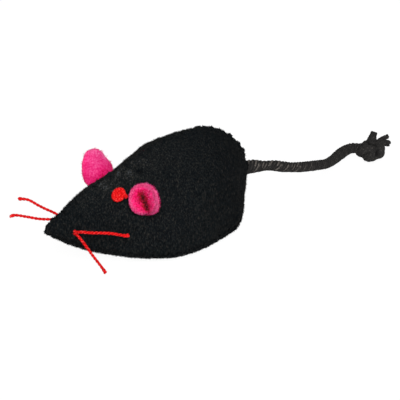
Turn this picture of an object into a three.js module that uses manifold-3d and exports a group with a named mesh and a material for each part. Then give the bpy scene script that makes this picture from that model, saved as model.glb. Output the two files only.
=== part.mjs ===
// A stuffed felt catnip mouse: three sewn felt panels round fibre wadding and dried catnip, with
// pleated felt ears, yarn-knot eyes, thread whiskers and a knotted cord for a tail.
// Millimetres, +Z up. The nose points to -X, the left side is -Y and the belly rests on z = 0.

import * as THREE from "three";
import { mergeVertices } from "three/addons/utils/BufferGeometryUtils.js";
import Module from "manifold-3d";

const wasm = await Module();
wasm.setup();

// Driving dimensions of the sewn body

const BODY_LENGTH = 70; // nose tip to rear point, along the belly seam
const BODY_WIDTH = 34; // across the belly seam at its widest
const BACK_RISE = 31.7; // top of the back above the belly seam
const SEAM_HEIGHT = 3; // belly seam above the floor
const NOSE_LIFT = 9.6; // how much higher the belly seam is at the nose
const RUMP_LIFT = 2; // how much higher it is at the rear point
const BELLY_SAG = 4; // fullness of the belly panel before the floor flattens it
const BACK_LEAN = 0.12; // lean of the back towards the rump, in mm per mm of rise
const RIDGE = 0.1; // share of a straight fold in the round section of the back
const TIP_LIFT_POWER = 10; // how near to its tips the belly seam lifts
const BODY_FELT = 1.6; // thickness of the body felt
const CLEARANCE = 0.3; // gap between pieces that touch

// How the body swells from its tips: a higher power draws a tip out to a sharper point

const BACK_SWELL = { tips: 0.73, nose: 0.74 };
const SEAM_SWELL = { tips: 1.37, nose: 0.63 };
const BELLY_SWELL = { tips: 0.6, nose: 0.6 };
const NOSE_WALL = 2.2; // felt depth at the pointed nose, in thicknesses of felt
const RUMP_WALL = 1; // the same at the blunt rump

// Stuffing

const CATNIP_RADII = new THREE.Vector3(11, 8, 7.5);
const CATNIP_CENTRE = new THREE.Vector3(5, 0, 15);

// Ears, placed on the side panels: along in degrees from nose to rump, down as a share of the panel

const EAR_FELT = 1.4; // thickness of the ear felt
const EAR_BASE_CUT = 0.5; // depth of the straight cut where the disc is sewn on
const PLEAT_AT_BASE = 0.85; // steepness of the pleat where it is sewn
const PLEAT_AT_TIP = 0.44; // and at the top of the ear
const PLEAT_ROUND = 1.5; // half-width of the rounded bottom of the pleat
const PLEAT_OPENING = 1.5; // power with which the pleat opens towards the top
const PLEAT_NARROWING = 0.7; // share of the pleat's steepness that narrows the ear
const EAR_HEM = { depth: 0.4, width: 0.9 }; // thinned edge at the base: shares of felt and of base width
const LEFT_EAR = {
  disc: 11, // diameter of the flat felt disc
  place: { along: 77.2, down: 0.65 },
  up: [-0.08, 0.18, 0.98],
  facing: [-0.69, -0.72, 0.08],
  pleat: 0.94, // share of the steepness above
};
const RIGHT_EAR = {
  disc: 12.6,
  place: { along: 79.7, down: 0.67 },
  up: [-0.56, 0.27, 0.78],
  facing: [-0.23, 0.86, -0.46],
  pleat: 0.6,
};

// Eyes and whiskers

const EYE_DIAMETER = 4.6;
const EYE_HEIGHT = 1.5;
const EYE_BULGE = 0.35; // height of the widest part, as a share of the eye's height
const LEFT_EYE_PLACE = { along: 65, down: 0.375 };
const RIGHT_EYE_PLACE = { along: 61, down: 0.62 };
const WHISKER = 0.9; // thread diameter
const WHISKER_HOLE = { behind: 8, upper: 0.5, lower: -0.8, reach: 7 }; // from the nose tip
const WHISKER_STRAIGHT = [-4, 0, 4]; // points to the right where a whisker lies straight in the snout

// Each whisker's points run from its left tip to its right tip, with the snout between the two lists:
// behind the nose tip, to the right, above the nose tip

const UPPER_LEFT = [
  [21.9, -14.7, -0.1], [21, -14.4, -0.2], [18.7, -13.7, 0.4], [16, -12.6, 0.9], [13.4, -11.3, 1.2],
  [10.9, -9.6, 1.2], [9, -7.9, 0.9], [8.2, -6.6, 0.6],
];
const UPPER_RIGHT = [
  [7.9, 6.3, 0.6], [6.8, 7.8, 1.1], [5, 10.3, 2], [3.9, 12.1, 2.6], [1.8, 14.8, 3.9], [-0.5, 17.2, 4.3],
];
const LOWER_LEFT = [
  [10.4, -19.5, -7.6], [10.2, -17.5, -6.9], [10, -15.3, -5.9], [9.6, -12.9, -4.6], [9.2, -10.4, -3.3],
  [8.5, -7.6, -1.6],
];
const LOWER_RIGHT = [
  [7.8, 6.4, -0.6], [6.4, 7.7, -0.3], [3, 9.9, -0.5], [0.1, 11.9, -0.2], [-3.1, 14.3, 0.1],
  [-4.4, 15.3, -0.6],
];

// Tail: a twisted cord, sewn into the back seam

const TAIL_CORD = 3.4; // cord diameter
const TAIL_HEIGHT = 18.3; // where the cord leaves the back seam, above the floor
const TAIL_DROOP = 11; // degrees below level as it leaves
const TAIL_ANCHOR_LENGTH = 9; // cord inside the body
const TAIL_ROOT_LENGTH = 8; // straight stretch between the two bends at the root

// The cord's points beyond the root: behind the rear point, to the right, above the floor

const TAIL_ROUTE = [
  [16.9, 0.2, 14.4], [20.6, 0.9, 13.1], [24.4, 1.8, 11.9], [29.2, 3.5, 10.4], [34.3, 5.5, 8.8],
  [39.1, 7.6, 7.3], [44.1, 10.5, 6.4], [49.1, 13.7, 6], [53.9, 16.3, 5.6], [57.3, 17.5, 5.1],
  [59.8, 17.4, 4.5],
];

// Knot at the end of the tail: the cord wound on itself in three lobes, with its plies left loose

const KNOT_CENTRE = [63.8, 15.1, 3.6]; // measured as the route is
const KNOT_RING = 2.5; // middle radius of the lobes
const KNOT_LOBE = 1.1; // how far the cord weaves in and out of that ring
const KNOT_WEAVE = 1.65; // how far it weaves up and down
const KNOT_CORD = 3.4; // cord diameter, drawn tight
const KNOT_LENGTHS = 6; // lengths of cord that make up the lobes
const KNOT_OVERLAP = 1.1; // each length against its share of the lobes
const PLY = 1.8; // diameter of one loose ply
const PLY_ENDS = [
  [[65, 16.8, 5.2], [65.8, 17.5, 7], [66.7, 17.9, 9]],
  [[66.4, 16, 4.6], [68.8, 16.7, 6], [71.4, 16.4, 7]],
  [[66.8, 15, 3.8], [69.6, 15.1, 4.6], [71.8, 15, 5]],
];

// Overcast seams

const SEWING_THREAD = 0.5; // thread diameter
const STITCH_PITCH = 3; // from one stitch to the next
const STITCH_REACH = 0.8; // how far a stitch reaches to each side of the seam
const BACK_SEAM_START = 30; // degrees from the nose, as for the ears
const BELLY_SEAM_ENDS = [16, 164];

// Mesh resolution

const PANEL_STATIONS = 30;
const PANEL_DIVISIONS = 9;
const BELLY_DIVISIONS = 12;
const EAR_ROWS = 9;
const EAR_COLUMNS = 5;
const CORD_SIDES = 8;
const THREAD_SIDES = 5;
const TAIL_STEPS = 26;
const WHISKER_STEPS = 24;
const KNOT_STEPS = 6;
const PLY_STEPS = 4;
const EYE_SIDES = 18;
const PROFILE_STEPS = 5;
const CATNIP_SIDES = 16;
const CATNIP_ROWS = 10;
const FILLING_DIVISIONS = 6;

// Solids and booleans

function asSolid(geometry) {
  const bare = geometry.clone();
  bare.deleteAttribute("normal");
  bare.deleteAttribute("uv");
  const merged = mergeVertices(bare, 1e-4);
  const vertProperties = new Float32Array(merged.attributes.position.array);
  const triVerts = new Uint32Array(merged.index.array);
  return new wasm.Manifold(new wasm.Mesh({ numProp: 3, vertProperties, triVerts }));
}

function asGeometry(solid) {
  const mesh = solid.getMesh();
  const geometry = new THREE.BufferGeometry();
  geometry.setAttribute("position", new THREE.BufferAttribute(mesh.vertProperties, 3));
  geometry.setIndex(new THREE.BufferAttribute(mesh.triVerts, 1));
  geometry.computeVertexNormals();
  return geometry;
}

// Closes faces over shared points, leaves out the ones that a tip has collapsed, and turns them outwards
function closedGeometry(points, faces) {
  const kept = faces.filter(([a, b, c]) => a !== b && b !== c && c !== a);
  let volume = 0;
  for (const [a, b, c] of kept) {
    volume += points[a].dot(new THREE.Vector3().crossVectors(points[b], points[c]));
  }
  const outward = volume > 0 ? kept : kept.map(([a, b, c]) => [a, c, b]);
  const geometry = new THREE.BufferGeometry().setFromPoints(points);
  geometry.setIndex(outward.flat());
  geometry.computeVertexNormals();
  return geometry;
}

// A sheet with thickness: each row is a list of [outer, inner] points, and a row of one point is a tip
function sheet(rows) {
  const points = [];
  const index = rows.map((row) =>
    row.map(([outer, inner]) => {
      points.push(outer, inner);
      return [points.length - 2, points.length - 1];
    }),
  );
  const faces = [];
  const quad = (a, b, c, d) => faces.push([a, b, c], [a, c, d]);
  const at = (row, column) => row[Math.min(column, row.length - 1)];
  for (let r = 0; r + 1 < index.length; r++) {
    const [near, far] = [index[r], index[r + 1]];
    const last = Math.max(near.length, far.length) - 1;
    for (let c = 0; c < last; c++) {
      quad(at(near, c)[0], at(far, c)[0], at(far, c + 1)[0], at(near, c + 1)[0]);
      quad(at(near, c)[1], at(near, c + 1)[1], at(far, c + 1)[1], at(far, c)[1]);
    }
    quad(at(near, 0)[0], at(near, 0)[1], at(far, 0)[1], at(far, 0)[0]);
    quad(at(near, last)[0], at(far, last)[0], at(far, last)[1], at(near, last)[1]);
  }
  const [first, end] = [index[0], index[index.length - 1]];
  for (let c = 0; c + 1 < first.length; c++) {
    quad(first[c][0], first[c + 1][0], first[c + 1][1], first[c][1]);
  }
  for (let c = 0; c + 1 < end.length; c++) {
    quad(end[c][0], end[c][1], end[c + 1][1], end[c + 1][0]);
  }
  return closedGeometry(points, faces);
}

// A lofted solid: each ring is a closed list of points, and the first and last rings are tips or caps
function loft(rings) {
  const points = [];
  const index = rings.map((ring) =>
    ring.map((point) => {
      points.push(point);
      return points.length - 1;
    }),
  );
  const faces = [];
  for (let r = 0; r + 1 < index.length; r++) {
    const [near, far] = [index[r], index[r + 1]];
    const count = Math.max(near.length, far.length);
    for (let c = 0; c < count; c++) {
      const [a, b] = [near[c % near.length], near[(c + 1) % near.length]];
      const [d, e] = [far[c % far.length], far[(c + 1) % far.length]];
      faces.push([a, b, e], [a, e, d]);
    }
  }
  for (let c = 1; c + 1 < index[0].length; c++) {
    faces.push([index[0][0], index[0][c + 1], index[0][c]]);
  }
  const end = index[index.length - 1];
  for (let c = 1; c + 1 < end.length; c++) {
    faces.push([end[0], end[c], end[c + 1]]);
  }
  return closedGeometry(points, faces);
}

// A thread laid from point to point, with one ring of sides at each point
function thread(path, diameter) {
  const rings = [];
  let across = new THREE.Vector3(0, 0, 1);
  path.forEach((point, i) => {
    const before = path[Math.max(i - 1, 0)];
    const after = path[Math.min(i + 1, path.length - 1)];
    const along = new THREE.Vector3().subVectors(after, before).normalize();
    across = across.clone().addScaledVector(along, -across.dot(along)).normalize();
    const third = new THREE.Vector3().crossVectors(along, across);
    const ring = [];
    for (let k = 0; k < THREAD_SIDES; k++) {
      const angle = (2 * Math.PI * k) / THREAD_SIDES;
      const spoke = across.clone().multiplyScalar(Math.cos(angle)).addScaledVector(third, Math.sin(angle));
      ring.push(point.clone().addScaledVector(spoke, diameter / 2));
    }
    rings.push(ring);
  });
  return loft(rings);
}

// A round cord along a smooth curve through its points
function cord(points, diameter, steps) {
  const section = new THREE.Shape();
  for (let k = 0; k < CORD_SIDES; k++) {
    const angle = (2 * Math.PI * k) / CORD_SIDES;
    const [x, y] = [(Math.cos(angle) * diameter) / 2, (Math.sin(angle) * diameter) / 2];
    if (k === 0) section.moveTo(x, y);
    else section.lineTo(x, y);
  }
  section.closePath();
  const extrudePath = new THREE.CatmullRomCurve3(points, false, "centripetal");
  return new THREE.ExtrudeGeometry(section, { steps, extrudePath, bevelEnabled: false });
}

// A straight round bar from one point towards another
function bar(from, to, diameter) {
  const [radius, length] = [diameter / 2, from.distanceTo(to)];
  const geometry = new THREE.CylinderGeometry(radius, radius, length, 2 * CORD_SIDES);
  const along = new THREE.Vector3().subVectors(to, from).normalize();
  const turn = new THREE.Quaternion().setFromUnitVectors(new THREE.Vector3(0, 1, 0), along);
  geometry.applyQuaternion(turn);
  const middle = new THREE.Vector3().addVectors(from, to).multiplyScalar(0.5);
  return geometry.translate(middle.x, middle.y, middle.z);
}

// Body surface: t runs from 0 at the nose to pi at the rump
// and down from 0 at the back seam to 1 at the belly seam

const radians = THREE.MathUtils.degToRad;

function swell(t, { tips, nose }) {
  const shape = (a) => Math.max(Math.sin(a), 0) ** tips * Math.sin(a / 2) ** nose;
  return shape(t) / shape(Math.acos(-nose / (2 * tips + nose)));
}

function seamPoint(t, inset) {
  const front = -BODY_LENGTH / 2 + inset * NOSE_WALL;
  const rear = BODY_LENGTH / 2 - inset * RUMP_WALL;
  const noseLift = NOSE_LIFT * Math.cos(t / 2) ** TIP_LIFT_POWER;
  const rumpLift = RUMP_LIFT * Math.sin(t / 2) ** TIP_LIFT_POWER;
  return new THREE.Vector3(
    front + ((rear - front) * (1 - Math.cos(t))) / 2,
    (BODY_WIDTH / 2 - inset) * swell(t, SEAM_SWELL),
    SEAM_HEIGHT + noseLift + rumpLift,
  );
}

// A point of the right flank; inset moves the surface inwards through the felt
function flankPoint(t, down, inset) {
  const seam = seamPoint(t, inset);
  const rise = (BACK_RISE - inset) * swell(t, BACK_SWELL);
  const angle = (down * Math.PI) / 2;
  const height = (1 - RIDGE) * Math.cos(angle) + RIDGE * (1 - down);
  const width = (1 - RIDGE) * Math.sin(angle) + RIDGE * down;
  return new THREE.Vector3(seam.x + BACK_LEAN * rise * height, seam.y * width, seam.z + rise * height);
}

// A point of the belly; across runs from -1 at the left seam to 1 at the right one
function bellyPoint(t, across, inset) {
  const seam = seamPoint(t, inset);
  const sag = (BELLY_SAG - inset) * swell(t, BELLY_SWELL) * Math.sqrt(1 - across * across);
  return new THREE.Vector3(seam.x, seam.y * across, Math.max(seam.z - CLEARANCE - sag, inset));
}

const mirrored = (point) => new THREE.Vector3(point.x, -point.y, point.z);
const onSide = (point, side) => (side < 0 ? mirrored(point) : point);

function flankNormal(t, down) {
  const h = 1e-4;
  const alongBody = new THREE.Vector3().subVectors(flankPoint(t + h, down, 0), flankPoint(t - h, down, 0));
  const downFlank = new THREE.Vector3().subVectors(flankPoint(t, down + h, 0), flankPoint(t, down - h, 0));
  return new THREE.Vector3().crossVectors(alongBody, downFlank).normalize();
}

// The place and outward direction of something sewn to a side panel
function sewnAt({ along, down }, side) {
  const t = radians(along);
  const shift = (side * CLEARANCE) / 2;
  const point = onSide(flankPoint(t, down, 0), side).add(new THREE.Vector3(0, shift, 0));
  return { point, normal: onSide(flankNormal(t, down), side) };
}

// Values of t at even steps along a seam
function evenStations(curve, from, to, pitch) {
  const samples = 900;
  const ts = Array.from({ length: samples + 1 }, (_, i) => from + ((to - from) * i) / samples);
  const lengths = [0];
  for (let i = 1; i <= samples; i++) {
    lengths.push(lengths[i - 1] + curve(ts[i]).distanceTo(curve(ts[i - 1])));
  }
  const steps = Math.round(lengths[samples] / pitch);
  return Array.from({ length: steps + 1 }, (_, k) => {
    const wanted = (lengths[samples] * k) / steps;
    return ts[lengths.findIndex((length) => length >= wanted - 1e-9)];
  });
}

// Felt panels

const stations = Array.from({ length: PANEL_STATIONS + 1 }, (_, i) => (Math.PI * i) / PANEL_STATIONS);
const isTip = (i) => i === 0 || i === PANEL_STATIONS;

function sidePanel(side) {
  const shift = new THREE.Vector3(0, (side * CLEARANCE) / 2, 0);
  const skin = (t, down, inset) => onSide(flankPoint(t, down, inset), side).add(shift);
  const pair = (t, down) => [0, BODY_FELT].map((inset) => skin(t, down, inset));
  const rows = stations.map((t, i) => {
    const divisions = isTip(i) ? 0 : PANEL_DIVISIONS;
    return Array.from({ length: divisions + 1 }, (_, j) => pair(t, j / PANEL_DIVISIONS));
  });
  return sheet(rows);
}

// Divisions crowd towards the seams, where the belly turns up
const bellyAcross = (j) => -Math.cos((Math.PI * j) / BELLY_DIVISIONS);

function bellyPanel() {
  const pair = (t, across) => [0, BODY_FELT].map((inset) => bellyPoint(t, across, inset));
  const rows = stations.map((t, i) => {
    const divisions = isTip(i) ? 0 : BELLY_DIVISIONS;
    return Array.from({ length: divisions + 1 }, (_, j) => pair(t, bellyAcross(j)));
  });
  return sheet(rows);
}

// The back seam, and where it comes down to a height on the rump

const backLine = (t) => flankPoint(t, 0, 0);

function findOnRump(height) {
  let [above, below] = [Math.PI / 2, Math.PI];
  for (let i = 0; i < 60; i++) {
    const middle = (above + below) / 2;
    if (backLine(middle).z > height) above = middle;
    else below = middle;
  }
  return above;
}

// Where the tail leaves the back seam, and the two bends at its root

const tailExit = backLine(findOnRump(TAIL_HEIGHT));
const tailOut = new THREE.Vector3(Math.cos(radians(TAIL_DROOP)), 0, -Math.sin(radians(TAIL_DROOP)));
const fromExit = (distance) => tailExit.clone().addScaledVector(tailOut, distance);
const liftPivot = fromExit(CLEARANCE + TAIL_CORD / 2);
const swingPivot = fromExit(CLEARANCE + TAIL_CORD / 2 + TAIL_ROOT_LENGTH);
const behindRump = ([back, right, up]) => new THREE.Vector3(BODY_LENGTH / 2 + back, right, up);

const tailHole = bar(
  fromExit(-TAIL_ANCHOR_LENGTH - CLEARANCE),
  fromExit(TAIL_CORD),
  TAIL_CORD + 2 * CLEARANCE,
);

function tailAnchor() {
  return bar(fromExit(-TAIL_ANCHOR_LENGTH), fromExit(0), TAIL_CORD);
}

// The root has a ball end at its pivot, so that it can tilt against the seam
function tailRoot() {
  const radius = TAIL_CORD / 2;
  const length = TAIL_ROOT_LENGTH - radius - CLEARANCE;
  const profile = new THREE.Path();
  profile.moveTo(0, -radius);
  profile.absarc(0, 0, radius, -Math.PI / 2, 0, false);
  profile.lineTo(radius, length);
  profile.lineTo(0, length);
  const geometry = new THREE.LatheGeometry(profile.getPoints(PROFILE_STEPS), 2 * CORD_SIDES);
  const turn = new THREE.Quaternion().setFromUnitVectors(new THREE.Vector3(0, 1, 0), tailOut);
  geometry.applyQuaternion(turn);
  return geometry.translate(liftPivot.x, liftPivot.y, liftPivot.z);
}

const tailLead = swingPivot.clone().addScaledVector(tailOut, TAIL_CORD / 2);
const tailPath = [swingPivot, tailLead, ...TAIL_ROUTE.map(behindRump)];
const [beforeEnd, tailEnd] = tailPath.slice(-2);
const intoKnot = new THREE.Vector3().subVectors(tailEnd, beforeEnd).normalize();
const knotStart = tailEnd.clone().addScaledVector(intoKnot, CLEARANCE);
const knotCentre = behindRump(KNOT_CENTRE);

function tailCord() {
  const ball = new THREE.SphereGeometry(TAIL_CORD / 2, 2 * CORD_SIDES, CORD_SIDES);
  ball.translate(swingPivot.x, swingPivot.y, swingPivot.z);
  return asGeometry(asSolid(cord(tailPath, TAIL_CORD, TAIL_STEPS)).add(asSolid(ball)));
}

// The lobes are joined from overlapping lengths of cord, because the drawn-tight cord presses on itself
function tailKnot() {
  const lobePoint = (angle) => {
    const ring = KNOT_RING + KNOT_LOBE * Math.cos(3 * angle);
    return new THREE.Vector3(
      knotCentre.x + ring * Math.cos(2 * angle),
      knotCentre.y + ring * Math.sin(2 * angle),
      knotCentre.z + KNOT_WEAVE * Math.sin(3 * angle),
    );
  };
  const share = (2 * Math.PI) / KNOT_LENGTHS;
  const heart = new THREE.SphereGeometry(KNOT_RING + KNOT_CORD / 4, 2 * CORD_SIDES, CORD_SIDES);
  heart.translate(knotCentre.x, knotCentre.y, knotCentre.z);
  let knot = asSolid(heart);
  for (let i = 0; i < KNOT_LENGTHS; i++) {
    const angleAt = (k) => share * (i + (KNOT_OVERLAP * k) / KNOT_STEPS);
    const points = Array.from({ length: KNOT_STEPS + 1 }, (_, k) => lobePoint(angleAt(k)));
    knot = knot.add(asSolid(cord(points, KNOT_CORD, KNOT_STEPS)));
  }
  const roomForCord = cord([...tailPath, knotStart], TAIL_CORD + 2 * CLEARANCE, TAIL_STEPS);
  knot = knot.subtract(asSolid(roomForCord));
  const inside = knotStart.clone().addScaledVector(intoKnot, TAIL_CORD);
  knot = knot.add(asSolid(cord([knotStart, inside, knotCentre], TAIL_CORD, PLY_STEPS)));
  for (const ply of PLY_ENDS) {
    knot = knot.add(asSolid(cord(ply.map(behindRump), PLY, PLY_STEPS)));
  }
  return asGeometry(knot);
}

// Whiskers pass straight through the snout, one above the other

const fromNose = ([behind, right, up]) =>
  new THREE.Vector3(-BODY_LENGTH / 2 + behind, right, SEAM_HEIGHT + NOSE_LIFT + up);

function whiskerHole(height) {
  const { behind, reach } = WHISKER_HOLE;
  const [left, right] = [-reach, reach].map((end) => fromNose([behind, end, height]));
  return bar(left, right, WHISKER + 2 * CLEARANCE);
}

function whisker(left, right, height) {
  const inside = WHISKER_STRAIGHT.map((place) => [WHISKER_HOLE.behind, place, height]);
  return cord([...left, ...inside, ...right].map(fromNose), WHISKER, WHISKER_STEPS);
}

// Stuffing: fibre wadding that fills the felt, in two wads that hold the catnip between them

function fillingSolid() {
  const inset = BODY_FELT + CLEARANCE;
  const rings = stations.map((t, i) => {
    if (isTip(i)) return [flankPoint(t, 0, inset)];
    const share = (j) => j / FILLING_DIVISIONS;
    const flank = Array.from({ length: FILLING_DIVISIONS }, (_, j) => flankPoint(t, share(j), inset));
    const across = (j) => bellyPoint(t, 1 - 2 * share(j), inset);
    const belly = Array.from({ length: FILLING_DIVISIONS + 1 }, (_, j) => across(j));
    return [...flank, ...belly, ...flank.slice(1).reverse().map(mirrored)];
  });
  return asSolid(loft(rings));
}

function catnip(grown) {
  const geometry = new THREE.SphereGeometry(1, CATNIP_SIDES, CATNIP_ROWS);
  geometry.scale(CATNIP_RADII.x + grown, CATNIP_RADII.y + grown, CATNIP_RADII.z + grown);
  return geometry.translate(CATNIP_CENTRE.x, CATNIP_CENTRE.y, CATNIP_CENTRE.z);
}

function stuffing(side) {
  const size = 2 * BODY_LENGTH;
  const half = new THREE.BoxGeometry(size, size, size);
  half.translate(CATNIP_CENTRE.x + side * (size / 2 + CLEARANCE / 2), 0, 0);
  return asGeometry(hollowFilling.intersect(asSolid(half)));
}

// Ears: a felt disc with a straight cut at its base, pinched into a pleat that opens towards the top

function ear({ disc, place, up, facing, pleat }, side) {
  const radius = disc / 2;
  const height = disc - EAR_BASE_CUT;
  const baseAngle = Math.acos((radius - EAR_BASE_CUT) / radius);
  const pleated = (across, v) => {
    const open = Math.max(1 - Math.max(v, 0) / height, 0) ** PLEAT_OPENING;
    const slope = pleat * (PLEAT_AT_TIP + (PLEAT_AT_BASE - PLEAT_AT_TIP) * open);
    const rise = slope * (Math.hypot(across, PLEAT_ROUND) - PLEAT_ROUND);
    return new THREE.Vector3(across / Math.hypot(1, PLEAT_NARROWING * slope), v, rise);
  };
  const h = 1e-3;
  const pair = (across, v, thickness) => {
    const sideways = new THREE.Vector3().subVectors(pleated(across + h, v), pleated(across - h, v));
    const upwards = new THREE.Vector3().subVectors(pleated(across, v + h), pleated(across, v - h));
    const normal = new THREE.Vector3().crossVectors(sideways, upwards).normalize();
    return [0.5, -0.5].map((half) => pleated(across, v).addScaledVector(normal, half * thickness));
  };
  const row = (v, halfWidth, thickness) => {
    const across = (c) => halfWidth * (c / EAR_COLUMNS - 1);
    return Array.from({ length: 2 * EAR_COLUMNS + 1 }, (_, c) => pair(across(c), v, thickness));
  };
  const baseWidth = radius * Math.sin(baseAngle);
  const hem = EAR_HEM.depth * EAR_FELT;
  const rows = [row(-hem, EAR_HEM.width * baseWidth, hem)];
  for (let r = 0; r < EAR_ROWS; r++) {
    const angle = baseAngle + ((Math.PI - baseAngle) * r) / EAR_ROWS;
    rows.push(row(radius - EAR_BASE_CUT - radius * Math.cos(angle), radius * Math.sin(angle), EAR_FELT));
  }
  rows.push([pair(0, height, EAR_FELT)]);

  const seat = sewnAt(place, side);
  const top = new THREE.Vector3(...up).normalize();
  const face = new THREE.Vector3(...facing);
  face.addScaledVector(top, -face.dot(top)).normalize();
  const width = new THREE.Vector3().crossVectors(top, face);
  const base = seat.point.clone().addScaledVector(seat.normal, EAR_FELT / 2 + CLEARANCE);
  const frame = new THREE.Matrix4().makeBasis(width, top, face).setPosition(base);
  return sheet(rows).applyMatrix4(frame);
}

// Eyes: a flat-backed knot of yarn, seated square to the panel

function eye(place, side) {
  const profile = new THREE.Path();
  const radius = EYE_DIAMETER / 2;
  const bulge = EYE_BULGE * EYE_HEIGHT;
  profile.moveTo(0, 0);
  profile.lineTo(radius - bulge, 0);
  profile.lineTo(radius, bulge);
  profile.absellipse(0, bulge, radius, EYE_HEIGHT - bulge, 0, Math.PI / 2, false);
  const geometry = new THREE.LatheGeometry(profile.getPoints(PROFILE_STEPS), EYE_SIDES);
  const seat = sewnAt(place, side);
  const turn = new THREE.Quaternion().setFromUnitVectors(new THREE.Vector3(0, 1, 0), seat.normal);
  geometry.applyQuaternion(turn);
  const base = seat.point.clone().addScaledVector(seat.normal, CLEARANCE);
  return geometry.translate(base.x, base.y, base.z);
}

// Overcast sewing: one unbroken thread that crosses the seam at each stitch

function overcast(ts, place) {
  const path = [];
  ts.forEach((t, i) => {
    const reach = i % 2 === 0 ? 1 : -1;
    path.push(place(t, reach));
    if (i + 1 < ts.length) path.push(place((t + ts[i + 1]) / 2, 0));
  });
  return path;
}

const stitchLift = SEWING_THREAD / 2 + CLEARANCE;
const beltLine = (t) => seamPoint(t, 0);
const halfPitch = STITCH_PITCH / 2;

// A point of a panel's edge, which runs straight from one station of the felt to the next
function onEdge(line, t) {
  const step = Math.PI / PANEL_STATIONS;
  const station = Math.min(Math.floor(t / step), PANEL_STATIONS - 1);
  return line(station * step).lerp(line((station + 1) * step), t / step - station);
}

function backStitch(t, reach) {
  const h = 1e-3;
  const along = new THREE.Vector3().subVectors(backLine(t + h), backLine(t - h)).normalize();
  const outward = new THREE.Vector3(-along.z, 0, along.x);
  const sideways = new THREE.Vector3(0, reach * STITCH_REACH, 0);
  return onEdge(backLine, t).addScaledVector(outward, stitchLift).add(sideways);
}

function bellyStitch(side) {
  return (t, reach) => {
    const h = 1e-3;
    const along = new THREE.Vector3().subVectors(beltLine(t + h), beltLine(t - h)).setZ(0).normalize();
    const outward = new THREE.Vector3(-along.y, along.x, 0);
    const crossing = new THREE.Vector3(0, side * (CLEARANCE / 2), reach * STITCH_REACH - CLEARANCE / 2);
    return onSide(onEdge(beltLine, t).addScaledVector(outward, stitchLift), side).add(crossing);
  };
}

// The least gap between stretches of a thread that are not next to each other
function leastGap(path, diameter) {
  let least = Infinity;
  for (let i = 0; i < path.length; i++) {
    for (let j = i + 4; j < path.length; j++) {
      least = Math.min(least, path[i].distanceTo(path[j]) - diameter);
    }
  }
  return least;
}

const tailRoom = TAIL_CORD / 2 + CLEARANCE + STITCH_REACH + SEWING_THREAD;
const upToTail = findOnRump(TAIL_HEIGHT + tailRoom);
const belowTail = findOnRump(TAIL_HEIGHT - tailRoom);
const rearPoint = findOnRump(SEAM_HEIGHT + RUMP_LIFT + tailRoom);
const backStations = evenStations(backLine, radians(BACK_SEAM_START), upToTail, halfPitch);
const beltStations = evenStations(beltLine, ...BELLY_SEAM_ENDS.map(radians), halfPitch);
const seams = {
  back_seam_thread: overcast(backStations, backStitch),
  rump_seam_thread: overcast(evenStations(backLine, belowTail, rearPoint, halfPitch), backStitch),
  left_belly_seam_thread: overcast(beltStations, bellyStitch(-1)),
  right_belly_seam_thread: overcast(beltStations, bellyStitch(1)),
};

// Materials

const finish = (color, roughness) => new THREE.MeshStandardMaterial({ color, roughness, metalness: 0 });
const BLACK_FELT = [0x1c1e21, 0.95];
const PINK_FELT = [0xe23a86, 0.95];
const RED_YARN = [0xee1d1d, 0.85];
const BLACK_THREAD = [0x121315, 0.7];
const CHARCOAL_CORD = [0x37332f, 0.9];
const WHITE_FIBRE = [0xe8e4da, 1];
const DRIED_CATNIP = [0x71793f, 1];

// Assembly

const { upper, lower } = WHISKER_HOLE;
const holes = [tailHole, whiskerHole(upper), whiskerHole(lower)].map(asSolid);
const cutHoles = (solid) => holes.reduce((rest, hole) => rest.subtract(hole), solid);
const hollowFilling = cutHoles(fillingSolid()).subtract(asSolid(catnip(CLEARANCE)));

const mouse = new THREE.Group();

function addPiece(name, geometry, [color, roughness]) {
  const piece = new THREE.Mesh(geometry, finish(color, roughness));
  piece.name = name;
  mouse.add(piece);
}

addPiece("left_side_panel", asGeometry(cutHoles(asSolid(sidePanel(-1)))), BLACK_FELT);
addPiece("right_side_panel", asGeometry(cutHoles(asSolid(sidePanel(1)))), BLACK_FELT);
addPiece("belly_panel", bellyPanel(), BLACK_FELT);
addPiece("stuffing_front", stuffing(-1), WHITE_FIBRE);
addPiece("stuffing_rear", stuffing(1), WHITE_FIBRE);
addPiece("catnip_filling", catnip(0), DRIED_CATNIP);
addPiece("left_ear", ear(LEFT_EAR, -1), PINK_FELT);
addPiece("right_ear", ear(RIGHT_EAR, 1), PINK_FELT);
addPiece("left_eye", eye(LEFT_EYE_PLACE, -1), RED_YARN);
addPiece("right_eye", eye(RIGHT_EYE_PLACE, 1), RED_YARN);
addPiece("whisker_thread_upper", whisker(UPPER_LEFT, UPPER_RIGHT, upper), RED_YARN);
addPiece("whisker_thread_lower", whisker(LOWER_LEFT, LOWER_RIGHT, lower), RED_YARN);
for (const [name, path] of Object.entries(seams)) {
  addPiece(name, thread(path, SEWING_THREAD), BLACK_THREAD);
  console.log(`${name}: least gap to itself ${leastGap(path, SEWING_THREAD).toFixed(2)} mm`);
}
addPiece("tail_anchor", tailAnchor(), CHARCOAL_CORD);
addPiece("tail_root", tailRoot(), CHARCOAL_CORD);
addPiece("tail_cord", tailCord(), CHARCOAL_CORD);
addPiece("tail_knot", tailKnot(), CHARCOAL_CORD);

export default mouse;
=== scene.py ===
"""Looks of a stuffed felt catnip mouse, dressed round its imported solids.

Shapes are worked out in millimetres, in the solids' own frame: the nose points to -X, the left side is
-Y and the belly rests on z = 0. They turn into metres when a mesh is made.
"""

import logging
import math
from collections.abc import Sequence
from dataclasses import dataclass, replace
from enum import Enum
from typing import Any

import bmesh
import bpy
import numpy as np
from mathutils import Euler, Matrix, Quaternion, Vector


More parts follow.
